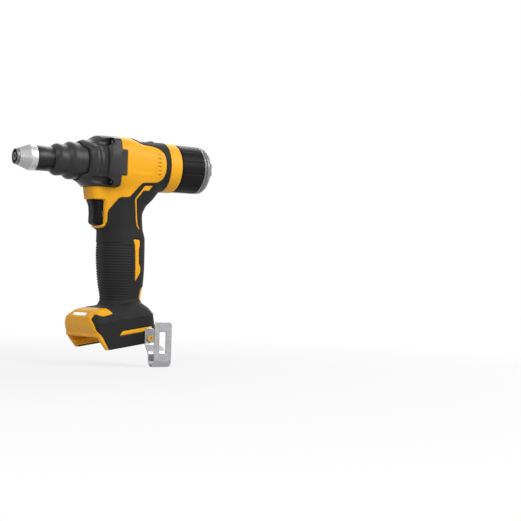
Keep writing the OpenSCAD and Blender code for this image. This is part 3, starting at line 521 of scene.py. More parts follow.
def rubber_form(x, y, z):
    """One rubber overmould on the +Y side."""
    form = body_form(x, y, z)
    region = rubber_region(x, y, z)
    u, w = to_foot(x, z)
    rubber = round_overlap(form + grip_ribs(x, z), region + RUBBER_GAP, 1.0)
    rubber = round_cut(rubber, form + SKIN - 0.05 + RIB_UNDERCUT * rib_zone(x, z), 0.3)
    rubber = round_cut(rubber, box_distance(u, y, w, (BAY_REAR, -60, -60), (80, BAY_HW + 1, BAY_TOP)), 0.4)
    rubber = np.maximum(rubber, -np.minimum(head_room(x, y, z), trigger_slot(x, y, z) - 0.2))
    rubber = np.maximum(rubber, -lens_slot(x, y, z, LENS_GAP))
    rubber = np.maximum(rubber, -hook_screw_room(x, y, z))
    return round_overlap(rubber, SEAM - y, 0.5)


def with_wells(form):
    """The same form for the other side, which takes the housing screws."""
    return lambda x, y, z: round_cut(form(x, y, z), screw_wells(x, y, z), 0.4)


# Meshes from fields
BLOCK = 8


def field_mesh(field, low, high, step):
    """Points and four-sided faces on the field's zero surface, found block by block near it."""
    step = np.array(step, float) * np.ones(3)
    low = np.array(low, float) - 2 * step
    blocks = np.ceil((np.array(high, float) + 2 * step - low) / step / BLOCK).astype(int)
    home = np.stack(np.meshgrid(*[np.arange(n) for n in blocks], indexing="ij"), -1).reshape(-1, 3)
    centre = low + (home + 0.5) * BLOCK * step
    reach = 0.8 * BLOCK * np.linalg.norm(step)
    home = home[np.abs(field(*centre.T)) < reach]
    corner = np.stack(np.meshgrid(*[np.arange(BLOCK + 1)] * 3, indexing="ij"), -1)
    spots = (low + (home[:, None, None, None] * BLOCK + corner) * step).reshape(-1, 3)
    chunks = np.array_split(spots, len(spots) // 400000 + 1)
    value = np.concatenate([field(*c.T) for c in chunks]).reshape(-1, *[BLOCK + 1] * 3)
    inside = value < 0
    offsets = [(i, j, k) for i in (0, 1) for j in (0, 1) for k in (0, 1)]
    full = sum(inside[:, i:BLOCK + i, j:BLOCK + j, k:BLOCK + k].astype(int) for i, j, k in offsets)
    b, i, j, k = np.nonzero((full > 0) & (full < 8))
    at = {o: value[b, i + o[0], j + o[1], k + o[2]] for o in offsets}
    total, count = np.zeros((len(b), 3)), np.zeros(len(b))
    for p in offsets:
        for axis in range(3):
            if p[axis]:
                continue
            q = tuple(p[a] + (a == axis) for a in range(3))
            crossed = (at[p] < 0) != (at[q] < 0)
            t = np.where(crossed, at[p] / np.where(crossed, at[p] - at[q], 1), 0)
            spot = np.array(p, float) + np.eye(3)[axis] * t[:, None]
            total += spot * crossed[:, None]
            count += crossed
    cell = home[b] * BLOCK + np.stack([i, j, k], 1)
    points = low + (cell + total / count[:, None]) * step
    number = np.full(blocks * BLOCK, -1, np.int32)
    number[tuple(cell.T)] = np.arange(len(cell))
    quads = []
    for axis in range(3):
        first, second = np.eye(3, dtype=int)[(axis + 1) % 3], np.eye(3, dtype=int)[(axis + 2) % 3]
        ahead = [slice(None)] + [slice(1, None) if a == axis else slice(0, BLOCK) for a in range(3)]
        start = inside[:, :BLOCK, :BLOCK, :BLOCK]
        edge = np.stack(np.nonzero(start != inside[tuple(ahead)]), 1)
        base = home[edge[:, 0]] * BLOCK + edge[:, 1:]
        ring = [base - first - second, base - second, base, base - first]
        quad = np.stack([number[tuple(r.T)] for r in ring], 1)
        outward = start[tuple(edge.T)]
        quads.append(np.where(outward[:, None], quad, quad[:, ::-1]))
    quads = np.concatenate(quads)
    return settle(points, field, step), quads[(quads >= 0).all(1)]


def settle(points, field, step, rounds=2):
    """Moves the points onto the field's true surface."""
    h = 0.2 * step.min()
    for _ in range(rounds):
        value = field(*points.T)
        rises = [field(*(points + h * a).T) - field(*(points - h * a).T) for a in np.eye(3)]
        slope = np.stack(rises, 1) / (2 * h)
        move = slope * (value / np.maximum((slope ** 2).sum(1), 0.2))[:, None]
        size = np.linalg.norm(move, axis=1)
        points = points - move * np.minimum(1, 0.6 * step.min() / np.maximum(size, 1e-9))[:, None]
    return points


def add_to_scene(thing):
    bpy.context.scene.collection.objects.link(thing)


def make_piece(name, points, faces, material, body, node, slot):
    """A smooth-shaded piece from points in millimetres, riding on a body in place of a node."""
    mesh = bpy.data.meshes.new(name)
    places = (np.asarray(points, float) - (X_TIP, 0, 0)) * MM
    mesh.from_pydata(places.tolist(), [], np.asarray(faces).tolist())
    mesh.polygons.foreach_set("use_smooth", np.ones(len(mesh.polygons), bool))
    mesh.materials.append(material)
    mesh.update()
    piece = bpy.data.objects.new(name, mesh)
    add_to_scene(piece)
    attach(piece, body)
    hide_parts(node)
    return piece


def make_formed(name, form, low, high, step, *finish):
    """A piece meshed from a field between two corners; finish is material, body, node and slot, and the slot
    is not used.
    """
    return make_piece(name, *field_mesh(form, low, high, step), *finish)


def mirrored(points, quads):
    return points * np.array([1, -1, 1]), quads[:, ::-1]


def curve_points(profile, steps=6):
    """Points along a turned profile: a corner with a third number is rounded by that radius."""
    path = []
    for i, corner in enumerate(profile):
        p = Vector(corner[:2])
        if len(corner) < 3:
            path.append(p)
            continue
        before = Vector(profile[i - 1][:2])
        after = Vector(profile[(i + 1) % len(profile)][:2])
        path += corner_curve(before, p, after, corner[2], PROFILE_SHARE, steps)
    return path


def turned(profile, sides=128, flute=None):
    """Points and faces of a closed profile of X and radius, turned about the tool's axis."""
    path = curve_points(profile)
    angle = 2 * math.pi * np.arange(sides) / sides
    points = []
    for p in path:
        r = np.full(sides, p.y)
        if flute is not None:
            r = flute(p.x, p.y, angle)
        points.append(np.stack([np.full(sides, p.x), r * np.cos(angle), r * np.sin(angle)], 1))
    n = len(path)
    i, j = np.meshgrid(np.arange(n), np.arange(sides), indexing="ij")
    i2, j2 = (i + 1) % n, (j + 1) % sides
    quads = np.stack([i * sides + j, i2 * sides + j, i2 * sides + j2, i * sides + j2], -1).reshape(-1, 4)
    return np.concatenate(points), quads


def face_places(points, quads):
    """X and distance from the tool's axis at the middle of each face."""
    middle = points[quads].mean(1)
    return middle[:, 0], np.hypot(middle[:, 1], middle[:, 2])


def paint_shade_on_faces(piece, material, chosen):
    """Gives the chosen faces of a piece another, darker material, as painted shade."""
    piece.data.materials.append(material)
    piece.data.polygons.foreach_set("material_index", chosen.astype(np.int32))


# Shader node helpers
def new_material(name):
    material = bpy.data.materials.new(name)
    material.use_nodes = True
    tree = material.node_tree
    return material, tree, tree.nodes["Principled BSDF"]


def add(tree, kind, **values):
    """A node with its properties and, by socket name, its inputs set."""
    node = tree.nodes.new(kind)
    for key, value in values.items():
        if key in node.inputs:
            node.inputs[key].default_value = value
        else:
            setattr(node, key, value)
    return node


def feed(tree, socket, value):
    """Links a socket to an output, or sets it to a plain value."""
    if isinstance(value, bpy.types.NodeSocket):
        tree.links.new(value, socket)
    else:
        socket.default_value = value


def mix_colour(tree, factor, a, b, blend="MIX"):
    node = add(tree, "ShaderNodeMix", data_type="RGBA", blend_type=blend)
    for socket, value in ((node.inputs["Factor"], factor), (node.inputs[6], a), (node.inputs[7], b)):
        feed(tree, socket, value)
    return node.outputs[2]


def ramp(tree, source, low, high, out_low=0.0, out_high=1.0):
    node = add(tree, "ShaderNodeMapRange")
    ends = (("From Min", low), ("From Max", high), ("To Min", out_low), ("To Max", out_high))
    for label, value in (("Value", source), *ends):
        feed(tree, node.inputs[label], value)
    return node.outputs["Result"]


def new_group(name, inputs, outputs):
    group = bpy.data.node_groups.new(name, "ShaderNodeTree")
    for label, default in inputs:
        socket = group.interface.new_socket(label, in_out="INPUT", socket_type="NodeSocketFloat")
        socket.default_value = default
    for label in outputs:
        group.interface.new_socket(label, in_out="OUTPUT", socket_type="NodeSocketFloat")
    return group, group.nodes.new("NodeGroupInput"), group.nodes.new("NodeGroupOutput")


def times(tree, a, b):
    node = add(tree, "ShaderNodeMath", operation="MULTIPLY")
    for socket, value in zip(node.inputs, (a, b)):
        feed(tree, socket, value)
    return node.outputs[0]


def noise(tree, scale, detail, roughness):
    """Cloudy noise fixed to the piece."""
    place = tree.nodes.new("ShaderNodeTexCoord")
    node = add(tree, "ShaderNodeTexNoise", Detail=detail, Roughness=roughness)
    tree.links.new(place.outputs["Object"], node.inputs["Vector"])
    feed(tree, node.inputs["Scale"], scale)
    return node.outputs["Fac"]


def raise_bump(tree, shader, height, depth):
    """Relief of a depth in metres, as a change of the shader's normal."""
    bump = add(tree, "ShaderNodeBump", Strength=1.0, Distance=depth)
    tree.links.new(height, bump.inputs["Height"])
    tree.links.new(bump.outputs["Normal"], shader.inputs["Normal"])


def moulded_grain_group():
    """Fine moulded texture: a height for the bump and a slow change of gloss."""
    sizes = [("Scale", 1800.0), ("Cloud", 60.0)]
    group, source, out = new_group("Moulded grain", sizes, ["Height", "Gloss change"])
    grain = noise(group, source.outputs["Scale"], 3.0, 0.6)
    cloud = noise(group, source.outputs["Cloud"], 4.0, 0.55)
    group.links.new(grain, out.inputs["Height"])
    group.links.new(ramp(group, cloud, 0.3, 0.7, -1, 1), out.inputs["Gloss change"])
    return group


def worn_edges_group():
    """Mask of the outer edges where handling rubs the finish, broken up by noise."""
    group, source, out = new_group("Worn edges", [("From", 0.53), ("To", 0.62), ("Patch", 220.0)], ["Mask"])
    shape = group.nodes.new("ShaderNodeNewGeometry")
    edge = ramp(group, shape.outputs["Pointiness"], source.outputs["From"], source.outputs["To"])
    broken = ramp(group, noise(group, source.outputs["Patch"], 5.0, 0.65), 0.42, 0.62)
    group.links.new(times(group, edge, broken), out.inputs["Mask"])
    return group


def settled_dust_group():
    """Mask of the faint dust that lies on faces that look up."""
    group, source, out = new_group("Settled dust", [("Amount", 0.1), ("Patch", 90.0)], ["Mask"])
    shape = group.nodes.new("ShaderNodeNewGeometry")
    split = group.nodes.new("ShaderNodeSeparateXYZ")
    group.links.new(shape.outputs["Normal"], split.inputs[0])
    upward = ramp(group, split.outputs["Z"], 0.2, 1.0)
    cloudy = ramp(group, noise(group, source.outputs["Patch"], 6.0, 0.7), 0.4, 0.7)
    group.links.new(times(group, times(group, upward, cloudy), source.outputs["Amount"]), out.inputs["Mask"])
    return group


GRAIN = moulded_grain_group()
WEAR = worn_edges_group()
DUST = settled_dust_group()
DUST_COLOUR = (0.55, 0.53, 0.5, 1)


def place_group(tree, group, **values):
    node = tree.nodes.new("ShaderNodeGroup")
    node.node_tree = group
    for key, value in values.items():
        node.inputs[key].default_value = value
    return node


def moulded(name, colour, rough, grain=1800.0, depth=0.00002, worn=None, wear_amount=0.5,
            dust=0.08, tint=0.06, shine=0.5, metal=0.0, glow=0.0):
    """A moulding or casting: grain, slow colour change, rubbed edges, a little dust and, where glow is set, a
    painted glow.
    """
    material, tree, shader = new_material(name)
    shader.inputs["Specular IOR Level"].default_value = shine
    shader.inputs["Metallic"].default_value = metal
    shader.inputs["Emission Color"].default_value = (1, 1, 1, 1)
    shader.inputs["Emission Strength"].default_value = glow
    texture = place_group(tree, GRAIN, Scale=grain)
    wear = place_group(tree, WEAR)
    dusty = place_group(tree, DUST, Amount=dust)
    shade = ramp(tree, texture.outputs["Gloss change"], -1, 1, 1 - tint, 1 + tint)
    base = mix_colour(tree, 1.0, (*colour, 1), shade, "MULTIPLY")
    rubbed = (*(worn or [min(1, c * 1.5 + 0.02) for c in colour]), 1)
    base = mix_colour(tree, times(tree, wear.outputs["Mask"], wear_amount), base, rubbed)
    base = mix_colour(tree, dusty.outputs["Mask"], base, DUST_COLOUR)
    tree.links.new(base, shader.inputs["Base Color"])
    gloss = ramp(tree, texture.outputs["Gloss change"], -1, 1, rough - 0.05, rough + 0.05)
    tree.links.new(gloss, shader.inputs["Roughness"])
    raise_bump(tree, shader, texture.outputs["Height"], depth)
    return material


def turned_steel(name, colour, rough, rings=3500.0, depth=0.000004, axis="X"):
    """Metal with fine turning or drawing lines across an axis."""
    material, tree, shader = new_material(name)
    shader.inputs["Metallic"].default_value = 1.0
    place = tree.nodes.new("ShaderNodeTexCoord")
    split = tree.nodes.new("ShaderNodeSeparateXYZ")
    tree.links.new(place.outputs["Object"], split.inputs[0])
    lines = add(tree, "ShaderNodeTexNoise", noise_dimensions="1D", Scale=rings, Detail=2.0)
    tree.links.new(split.outputs[axis], lines.inputs["W"])
    texture = place_group(tree, GRAIN, Scale=900.0, Cloud=120.0)
    wear = place_group(tree, WEAR)
    shade = ramp(tree, texture.outputs["Gloss change"], -1, 1, 0.9, 1.05)
    base = mix_colour(tree, 1.0, (*colour, 1), shade, "MULTIPLY")
    bright = (*[min(1, c * 1.25 + 0.05) for c in colour], 1)
    base = mix_colour(tree, times(tree, wear.outputs["Mask"], 0.6), base, bright)
    tree.links.new(base, shader.inputs["Base Color"])
    gloss = ramp(tree, lines.outputs["Fac"], 0.3, 0.7, rough - 0.06, rough + 0.08)
    tree.links.new(gloss, shader.inputs["Roughness"])
    raise_bump(tree, shader, lines.outputs["Fac"], depth)
    return material


def zinc_sheet():
    """Zinc-plated sheet: pale spangle, lighter on the edges where it is handled."""
    material, tree, shader = new_material("zinc_sheet")
    shader.inputs["Metallic"].default_value = 1.0
    place = tree.nodes.new("ShaderNodeTexCoord")
    spangle = add(tree, "ShaderNodeTexVoronoi", Scale=420.0)
    tree.links.new(place.outputs["Object"], spangle.inputs["Vector"])
    texture = place_group(tree, GRAIN, Scale=1200.0, Cloud=150.0)
    wear = place_group(tree, WEAR)
    shade = ramp(tree, spangle.outputs["Color"], 0, 1, 0.86, 1.06)
    base = mix_colour(tree, 1.0, (0.4, 0.4, 0.41, 1), shade, "MULTIPLY")
    bright = mix_colour(tree, times(tree, wear.outputs["Mask"], 0.5), base, (0.8, 0.8, 0.8, 1))
    tree.links.new(bright, shader.inputs["Base Color"])
    gloss = ramp(tree, texture.outputs["Gloss change"], -1, 1, 0.34, 0.48)
    tree.links.new(gloss, shader.inputs["Roughness"])
    raise_bump(tree, shader, texture.outputs["Height"], 0.00002)
    return material


def clear_plastic():
    """Smoke-clear moulded plastic with slight flow marks."""
    material, tree, shader = new_material("clear_plastic")
    shader.inputs["Transmission Weight"].default_value = 0.6
    shader.inputs["IOR"].default_value = 1.45
    texture = place_group(tree, GRAIN, Scale=300.0, Cloud=80.0)
    shade = ramp(tree, texture.outputs["Gloss change"], -1, 1, 0.94, 1.0)
    base = mix_colour(tree, 1.0, (0.4, 0.41, 0.415, 1), shade, "MULTIPLY")
    tree.links.new(base, shader.inputs["Base Color"])
    gloss = ramp(tree, texture.outputs["Gloss change"], -1, 1, 0.04, 0.12)
    tree.links.new(gloss, shader.inputs["Roughness"])
    return material


# The finishes of this tool, and the nodes inside that show their own solids
YELLOW = moulded("yellow_plastic", (0.93, 0.43, 0.016), 0.4, worn=(1.0, 0.6, 0.12), wear_amount=0.3,
                 dust=0.02, tint=0.03, shine=0.14)
RUBBER = moulded("black_rubber", (0.011, 0.011, 0.0115), 0.66, grain=1500.0, depth=0.00004,
                 wear_amount=0.25, dust=0.03, shine=0.22)
CHARCOAL = moulded("charcoal_plastic", (0.03, 0.03, 0.0305), 0.36, grain=1300.0, depth=0.00003,
                   dust=0.03, shine=0.22)
GLOSS = moulded("black_gloss", (0.016, 0.016, 0.0165), 0.3, grain=500.0, depth=0.000004, dust=0.01,
                shine=0.04)
TRIGGER = moulded("trigger_plastic", (0.004, 0.004, 0.0045), 0.42, dust=0.01, shine=0.1)
BLACKED = turned_steel("blacked_tube", (0.03, 0.03, 0.031), 0.36)
# Three copies of one steel at three brightnesses: the polished one lighter, a painted highlight, the other
# two darker, painted shade of dark reflections
POLISHED_STEEL_PAINTED_LIGHT = turned_steel("polished_steel", (0.56, 0.56, 0.57), 0.34, depth=0.000001)
STEEL_PAINTED_MID_SHADE = turned_steel("steel_painted_mid_shade", (0.41, 0.41, 0.414), 0.4, depth=0.000001)
STEEL_PAINTED_DARK_SHADE = turned_steel("steel_painted_dark_shade", (0.17, 0.17, 0.173), 0.36, depth=0.000001)
GEAR = turned_steel("gear_steel", (0.42, 0.42, 0.43), 0.32)
CAST = moulded("cast_aluminium", (0.5, 0.5, 0.51), 0.45, grain=700.0, depth=0.00005, metal=1.0)
LAMINATION = turned_steel("lamination_steel", (0.22, 0.23, 0.25), 0.45, rings=2000.0, depth=0.00003, axis="Z")
COPPER = turned_steel("winding_copper", (0.62, 0.27, 0.12), 0.35, rings=1500.0, depth=0.00006, axis="Z")
BRASS = turned_steel("turned_brass", (0.78, 0.48, 0.16), 0.28, axis="Y")
SPRING = turned_steel("spring_wire", (0.55, 0.55, 0.56), 0.3)
ZINC = zinc_sheet()
CLEAR = clear_plastic()
# The diffuser gives off a faint painted glow that keeps it bright white; no lamp is lit behind it
LENS = moulded("lamp_diffuser_painted_glow", (0.9, 0.9, 0.88), 0.3, worn=(0.95, 0.95, 0.95), dust=0.0, tint=0.02,
               glow=0.35)
BOARD = moulded("coated_board", (0.03, 0.16, 0.07), 0.4)
WIRE = moulded("wire_insulation", (0.4, 0.03, 0.025), 0.35)
# Black oxide for the screws, and the same dark colour as painted shade in the tip's recess
OXIDE_AND_RECESS_SHADE = turned_steel("black_oxide_screw_and_painted_recess_shade", (0.05, 0.05, 0.052), 0.4)
NODE_FINISH = {
    GEAR: [
        "jaw_case", "jaw_1", "jaw_2", "jaw_3", "jaw_pusher", "ball_nut", "face_gear", "drive_pinion",
        "planet_carrier", "planet_1", "planet_2", "planet_3", "sun_gear", "ring_gear", "draw_rod",
        "mandrel_tube", "motor_shaft", "nut_bearings", "pinion_bearing", "motor_bearings",
    ],
    CAST: ["bearing_plate", "gearbox_housing", "motor_plate", "motor_end_cap"],
    LAMINATION: ["stator_core", "rotor_core"],
    COPPER: ["stator_coils"],
    SPRING: ["pusher_spring", "trigger_spring"],
    BRASS: ["terminal_blades", "hook_inserts", "hook_screw"],
    CHARCOAL: ["switch_body", "terminal_block", "fan"],
    BOARD: ["control_board"],
    WIRE: ["motor_leads"],
    RUBBER: ["container_seal"],
    OXIDE_AND_RECESS_SHADE: ["case_screws", "housing_screws"],
}
for finish, nodes in NODE_FINISH.items():
    for node in nodes:
        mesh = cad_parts[node].data
        mesh.materials.clear()
        mesh.materials.append(finish)


# The shells and their rubber
def make_body():
    low, high = (-162, -0.5, -196), (-70, 38.5, 29.5)
    for form, node, material, slot, step in (
        (shell_form, "housing", YELLOW, "yellow_plastic", 0.75),
        (rubber_form, "grip", RUBBER, "black_rubber", (0.75, 0.75, 0.5)),
    ):
        make_formed(node + "_left_shell", form, low, high, step, material, "body", node + "_left", slot)
        points, quads = mirrored(*field_mesh(with_wells(form), low, high, step))
        make_piece(node + "_right_shell", points, quads, material, "body", node + "_right", slot)


# The front case: a collar round the nose housing, scooped sides, square at the shells
CASE_FRONT = -62.5
CASE_BORE = 20.1
HOUSING_END = X_CASE - 9
FLANGE_HALF = 14.5
FLANGE_TOP = -12
EAR_R = 5.4
EAR_LEN = 11
WELL_R = 4.5
WELL_OUT = 0.6
WELL_FLOOR = 8
# Rows of X and radius; the last ones of X and squareness
CASE_TOP_ROWS = [
    [-62, 17.0], [-64.6, 19.6], [-66, 20.8], [-68, 21.9], [-70.4, 22.5], [-75, 22.8], [-78, 23.6],
    [-81.5, 26.2], [-85, 27.9], [-90, 28.2], [X_SPLIT, 28.4],
]
CASE_SIDE_ROWS = [
    [-62, 12.0], [-69.8, 19.5], [-70.2, 20.6], [-73.5, 24.0], [-76.4, 25.4], [-78.6, 25.4], [-80.6, 23.6],
    [-84.5, 22.8], [-87.6, 23.4], [-89.6, 27.0], [-91.4, 27.7], [X_SPLIT, 28.2],
]
CASE_BASE_ROWS = [[-60, 17.6], [-63, 19.5], [-70, 23.4], [-76, 27.4], [-82, 28], [X_SPLIT, 28.4]]
CASE_SQUARE_ROWS = [[-60, 2], [-80, 2], [-86, 2.2], [-92, 2.6], [X_SPLIT, 3]]
CASE_TABLES = [
    smooth_table(rows) for rows in (CASE_TOP_ROWS, CASE_SIDE_ROWS, CASE_BASE_ROWS, CASE_SQUARE_ROWS)
]
# How far sideways and upward a spot faces where the side rows and the top rows take over
SIDE_FACING = (0.6, 0.88)
TOP_FACING = (-0.6, -0.3)


def at_ears(y, z, out, radius):
    """Round bars at the corner screws, moved outward from them."""
    bars = [np.hypot(np.abs(y) - EAR - out, z - s * (EAR + out)) - radius for s in (-1, 1)]
    return np.minimum.reduce(bars)


def case_form(x, y, z):
    top, side, base, square = [look_up(table, x)[0] for table in CASE_TABLES]
    away = np.hypot(y, z) + 1e-6
    upright = base + (top - base) * ease(z / away, *TOP_FACING)
    radius = upright + (side - upright) * ease(np.abs(y) / away, *SIDE_FACING)
    form = 0.8 * section_distance(y, z, radius, radius, square)
    form = np.maximum(form, slab(x, X_SPLIT, CASE_FRONT))
    flange_front = X_CASE + 1 - ease(np.abs(y), 9, FLANGE_HALF)
    flange = np.maximum(slab(x, X_SPLIT, flange_front), z - FLANGE_TOP)
    form = round_union(form, np.maximum(flange, np.abs(y) - FLANGE_HALF), 2.5)
    ears = np.maximum(at_ears(y, z, 0, EAR_R), slab(x, X_SPLIT, X_SPLIT + EAR_LEN))
    form = round_union(form, ears, 2.0)
    groove = np.maximum(np.abs(x - X_SPLIT - 0.5) - 0.35, np.abs(z) - POCKET_HALF)
    form = round_cut(form, np.maximum(groove, HEAD_R - 2 - np.abs(y)), 0.3)
    low, high = (X_SPLIT - 5.6, HEAD_R - 2.6, -TAB_HALF), (X_SPLIT + 3, HEAD_R - 0.6, TAB_HALF)
    form = np.minimum(form, box_distance(x, np.abs(y), z, low, high) - 0.4)
    form = round_overlap(form, CASE_FLOOR - z, 0.8)
    wells = np.maximum(at_ears(y, z, WELL_OUT, WELL_R), X_SPLIT + WELL_FLOOR - x)
    form = round_cut(form, wells, 0.8)
    bore = np.hypot(y, z) - np.where(x > HOUSING_END - 0.1, STEP_R[1] + 0.15, CASE_BORE)
    return np.maximum(form, -bore)


def make_front_case():
    low, high = (X_SPLIT - 6, -30, -28), (-62, 30, 30)
    make_formed("front_case_moulding", case_form, low, high, 0.6,
                CHARCOAL, "body", "front_case", "charcoal_plastic")


# Turned parts of the nose: the tip's recess, shank and end, then threads and bores
TIP_RECESS = 2
SHANK_R = 5
TIP_END = -21.5
TIP_END_R = 3.5
THREAD_END = X_TUBE + 4.5
THREAD_R = 11.5
TUBE_END = X_STEP2 - 6
TUBE_BORE = 10.2
HOUSING_BORE = 11


def make_nose():
    tip = [
        (X_TIP, BORE_R + 0.2, 0.2), (X_TIP, BORE_R + 1.4, 0.2),
        (X_TIP - TIP_RECESS, BORE_R + 1.6, 0.3), (X_TIP - TIP_RECESS, TIP_R - 1.6, 0.3),
        (X_TIP, TIP_R - 1.0, 0.2), (X_TIP, TIP_R - 0.5, 0.2), (X_TIP - 0.6, TIP_R, 0.4),
        (X_COLLAR + 1.5, TIP_R, 0.4), (X_COLLAR + 0.8, TIP_R - 1, 0.3), (X_COLLAR, TIP_R - 1),
        (X_COLLAR, SHANK_R), (THREAD_END + 0.1, SHANK_R), (THREAD_END + 0.1, TIP_END_R),
        (TIP_END, TIP_END_R), (TIP_END, BORE_R), (X_TIP - 0.8, BORE_R, 0.3),
    ]
    points, quads = turned(tip)
    # The tip is the darkest copy of the steel, painted shade of dark reflections
    piece = make_piece("nose_tip_turned", points, quads, STEEL_PAINTED_DARK_SHADE, "body", "nose_tip", "polished_steel")
    x, away = face_places(points, quads)
    recess = (x < X_TIP - 0.3) & (x > X_TIP - TIP_RECESS - 0.3)
    # The recess floor and walls take the black oxide colour, painted shade in the recess
    paint_shade_on_faces(piece, OXIDE_AND_RECESS_SHADE, recess & (away > BORE_R + 1.3) & (away < TIP_R - 0.95))
    collar = [
        (X_COLLAR, SHANK_R + 0.1), (X_COLLAR, TIP_R + 0.05), (X_CONE, TIP_R + 0.05),
        (X_CONE, TIP_R + 0.5, 0.2), (X_COLLAR - 5.6, COLLAR_R - 0.9, 0.6),
        (X_COLLAR - 6.2, COLLAR_R - 0.5, 0.2), (X_COLLAR - 6.6, COLLAR_R - 0.6, 0.2),
        (X_COLLAR - 7.2, COLLAR_R, 0.5), (X_TUBE + 0.8, COLLAR_R, 0.6), (X_TUBE, COLLAR_R - 0.6, 0.3),
        (X_TUBE, THREAD_R + 0.05), (THREAD_END, THREAD_R + 0.05), (THREAD_END, SHANK_R + 0.1),
    ]
    points, quads = turned(collar)
    # The collar's band and rim take the lighter steel, a painted highlight
    piece = make_piece("nose_collar_turned", points, quads, POLISHED_STEEL_PAINTED_LIGHT, "body", "nose_collar", "polished_steel")
    x, away = face_places(points, quads)
    # The cone takes the middle copy of the steel, painted shade of dark reflections
    paint_shade_on_faces(piece, STEEL_PAINTED_MID_SHADE, (x > X_COLLAR - 6.5) & (away > TIP_R + 0.2))
    tube = [
        (THREAD_END - 0.1, TUBE_BORE), (THREAD_END - 0.1, THREAD_R - 0.05), (X_TUBE - 0.05, THREAD_R - 0.05),
        (X_TUBE - 0.05, TUBE_R, 0.4), (TUBE_END, TUBE_R), (TUBE_END, TUBE_BORE),
    ]
    make_piece("nose_tube_turned", *turned(tube), BLACKED, "body", "nose_tube", "blued_steel")
    housing = [(X_STEP1, TUBE_R + 0.05)]
    steps = ((X_STEP1, TUBE_R + 0.3, STEP_R[0]), (X_STEP2 - 0.6, STEP_R[0] - 0.5, STEP_R[1]))
    for front, before, r in steps:
        housing += [(front - 0.2, before, 0.4), (front - 3.2, r - 0.7, 2.0)]
        housing += [(front - 6.2, r, 2.2), (front - 11.2, r - 0.7, 2.2)]
    housing += [
        (HOUSING_END, STEP_R[1]), (HOUSING_END, HOUSING_BORE),
        (TUBE_END - 0.1, HOUSING_BORE), (TUBE_END - 0.1, TUBE_R + 0.05),
    ]
    points, quads = turned(housing)
    make_piece("nose_housing_moulding", points, quads, CHARCOAL, "body", "nose_housing", "charcoal_plastic")


# Rear collar, mandrel container and its clear cap with a grip bar
BAYONET_R = 24.4
SLEEVE_R = 11.5
SLEEVE_BORE = 9.45
TUBE_HOLE = 4.45
SPIGOT_BORE = 21.2
CUP_WALL = 1.9
FLUTES = 12
FLUTE_DEPTH = 0.6
CAP_END = X_CAP - CAP_LEN
BAR_OUT = 1.45
BAR_HALF_LEN = 19.5
BAR_HALF = 5.5
BAR_EDGE = 1.5
CAP_PROFILE = [
    (X_CAP + 5, CUP_R - 3.4), (X_CAP + 5, CUP_R - 2.1), (X_CAP - 0.1, CUP_R - 2.1),
    (X_CAP - 0.1, CUP_R - 0.1), (X_CAP - 1.6, CUP_R - 0.1), (X_CAP - 2.0, CUP_R - 1.7),
    (X_CAP - 2.8, CUP_R - 1.7), (X_CAP - 3.2, CUP_R - 0.1), (X_CAP - 5.8, CUP_R - 0.3),
    (X_CAP - 6.4, CUP_R - 1.1), (CAP_END + 0.6, CUP_R - 1.4), (CAP_END, CUP_R - 2.2), (CAP_END, -1),
    (CAP_END + 2.2, -1), (CAP_END + 2.2, CUP_R - 4.2),
]


def container_flutes(x, r, angle):
    """Shallow lengthwise grooves on the container's outside."""
    if r < CUP_R - 0.3 or not X_CAP + 2 < x < X_CUP - 2:
        return np.full(len(angle), r)
    near = np.abs((angle * FLUTES / (2 * math.pi)) % 1 - 0.5) * 2
    return r - FLUTE_DEPTH * (1 - ease(near, 0.02, 0.12))


def cap_form(x, y, z):
    cup = polygon_distance(x, np.hypot(y, z), CAP_PROFILE)
    low, high = (CAP_END - BAR_OUT, -BAR_HALF_LEN, -BAR_HALF), (CAP_END + 1, BAR_HALF_LEN, BAR_HALF)
    return round_union(cup, box_distance(x, y, z, low, high) - BAR_EDGE, 1.2)


def make_rear():
    ring = [
        (X_RING - 0.05, RING_R - 0.3, 0.3), (X_RING - 0.8, RING_R, 0.4), (X_CUP + 1.2, RING_R, 0.8),
        (X_CUP, RING_R - 1, 0.4), (X_CUP, NECK_R), (X_CUP + 4, NECK_R), (X_CUP + 4, BAYONET_R),
        (X_CUP + 7.4, BAYONET_R), (X_CUP + 7.4, NECK_R), (X_RING - 2.5, NECK_R), (X_RING - 2.5, SLEEVE_R),
        (X_CUP + 1.4, SLEEVE_R), (X_CUP + 1.4, TUBE_HOLE), (X_CUP + 3, TUBE_HOLE),
        (X_CUP + 3, SLEEVE_BORE), (X_RING - 0.05, SLEEVE_BORE),
    ]
    make_piece("rear_collar_moulding", *turned(ring), YELLOW, "body", "rear_collar", "yellow_plastic")
    cup = [
        (X_CUP + 9.5, SPIGOT_BORE), (X_CUP + 9.5, NECK_R - 0.05), (X_CUP - 0.1, NECK_R - 0.05),
        (X_CUP - 0.1, CUP_R - 1.0, 0.3), (X_CUP - 1.4, CUP_R - 0.9, 0.3), (X_CUP - 1.8, CUP_R, 0.4),
        (X_CUP - 2.4, CUP_R), (X_CUP - 4, CUP_R), (X_CAP + 4, CUP_R), (X_CAP + 2.2, CUP_R),
        (X_CAP + 0.8, CUP_R, 0.6), (X_CAP, CUP_R - 0.8, 0.3), (X_CAP, CUP_R - CUP_WALL),
        (X_CUP - 2, CUP_R - CUP_WALL), (X_CUP - 2, SPIGOT_BORE),
    ]
    points, quads = turned(cup, 288, container_flutes)
    make_piece("container_moulding", points, quads, GLOSS, "container", "container", "black_gloss")
    low, high = (CAP_END - 3.2, -26, -26), (X_CAP + 5.2, 26, 26)
    make_formed("container_cap_clear", cap_form, low, high, 0.45,
                CLEAR, "container", "container_cap", "clear_plastic")


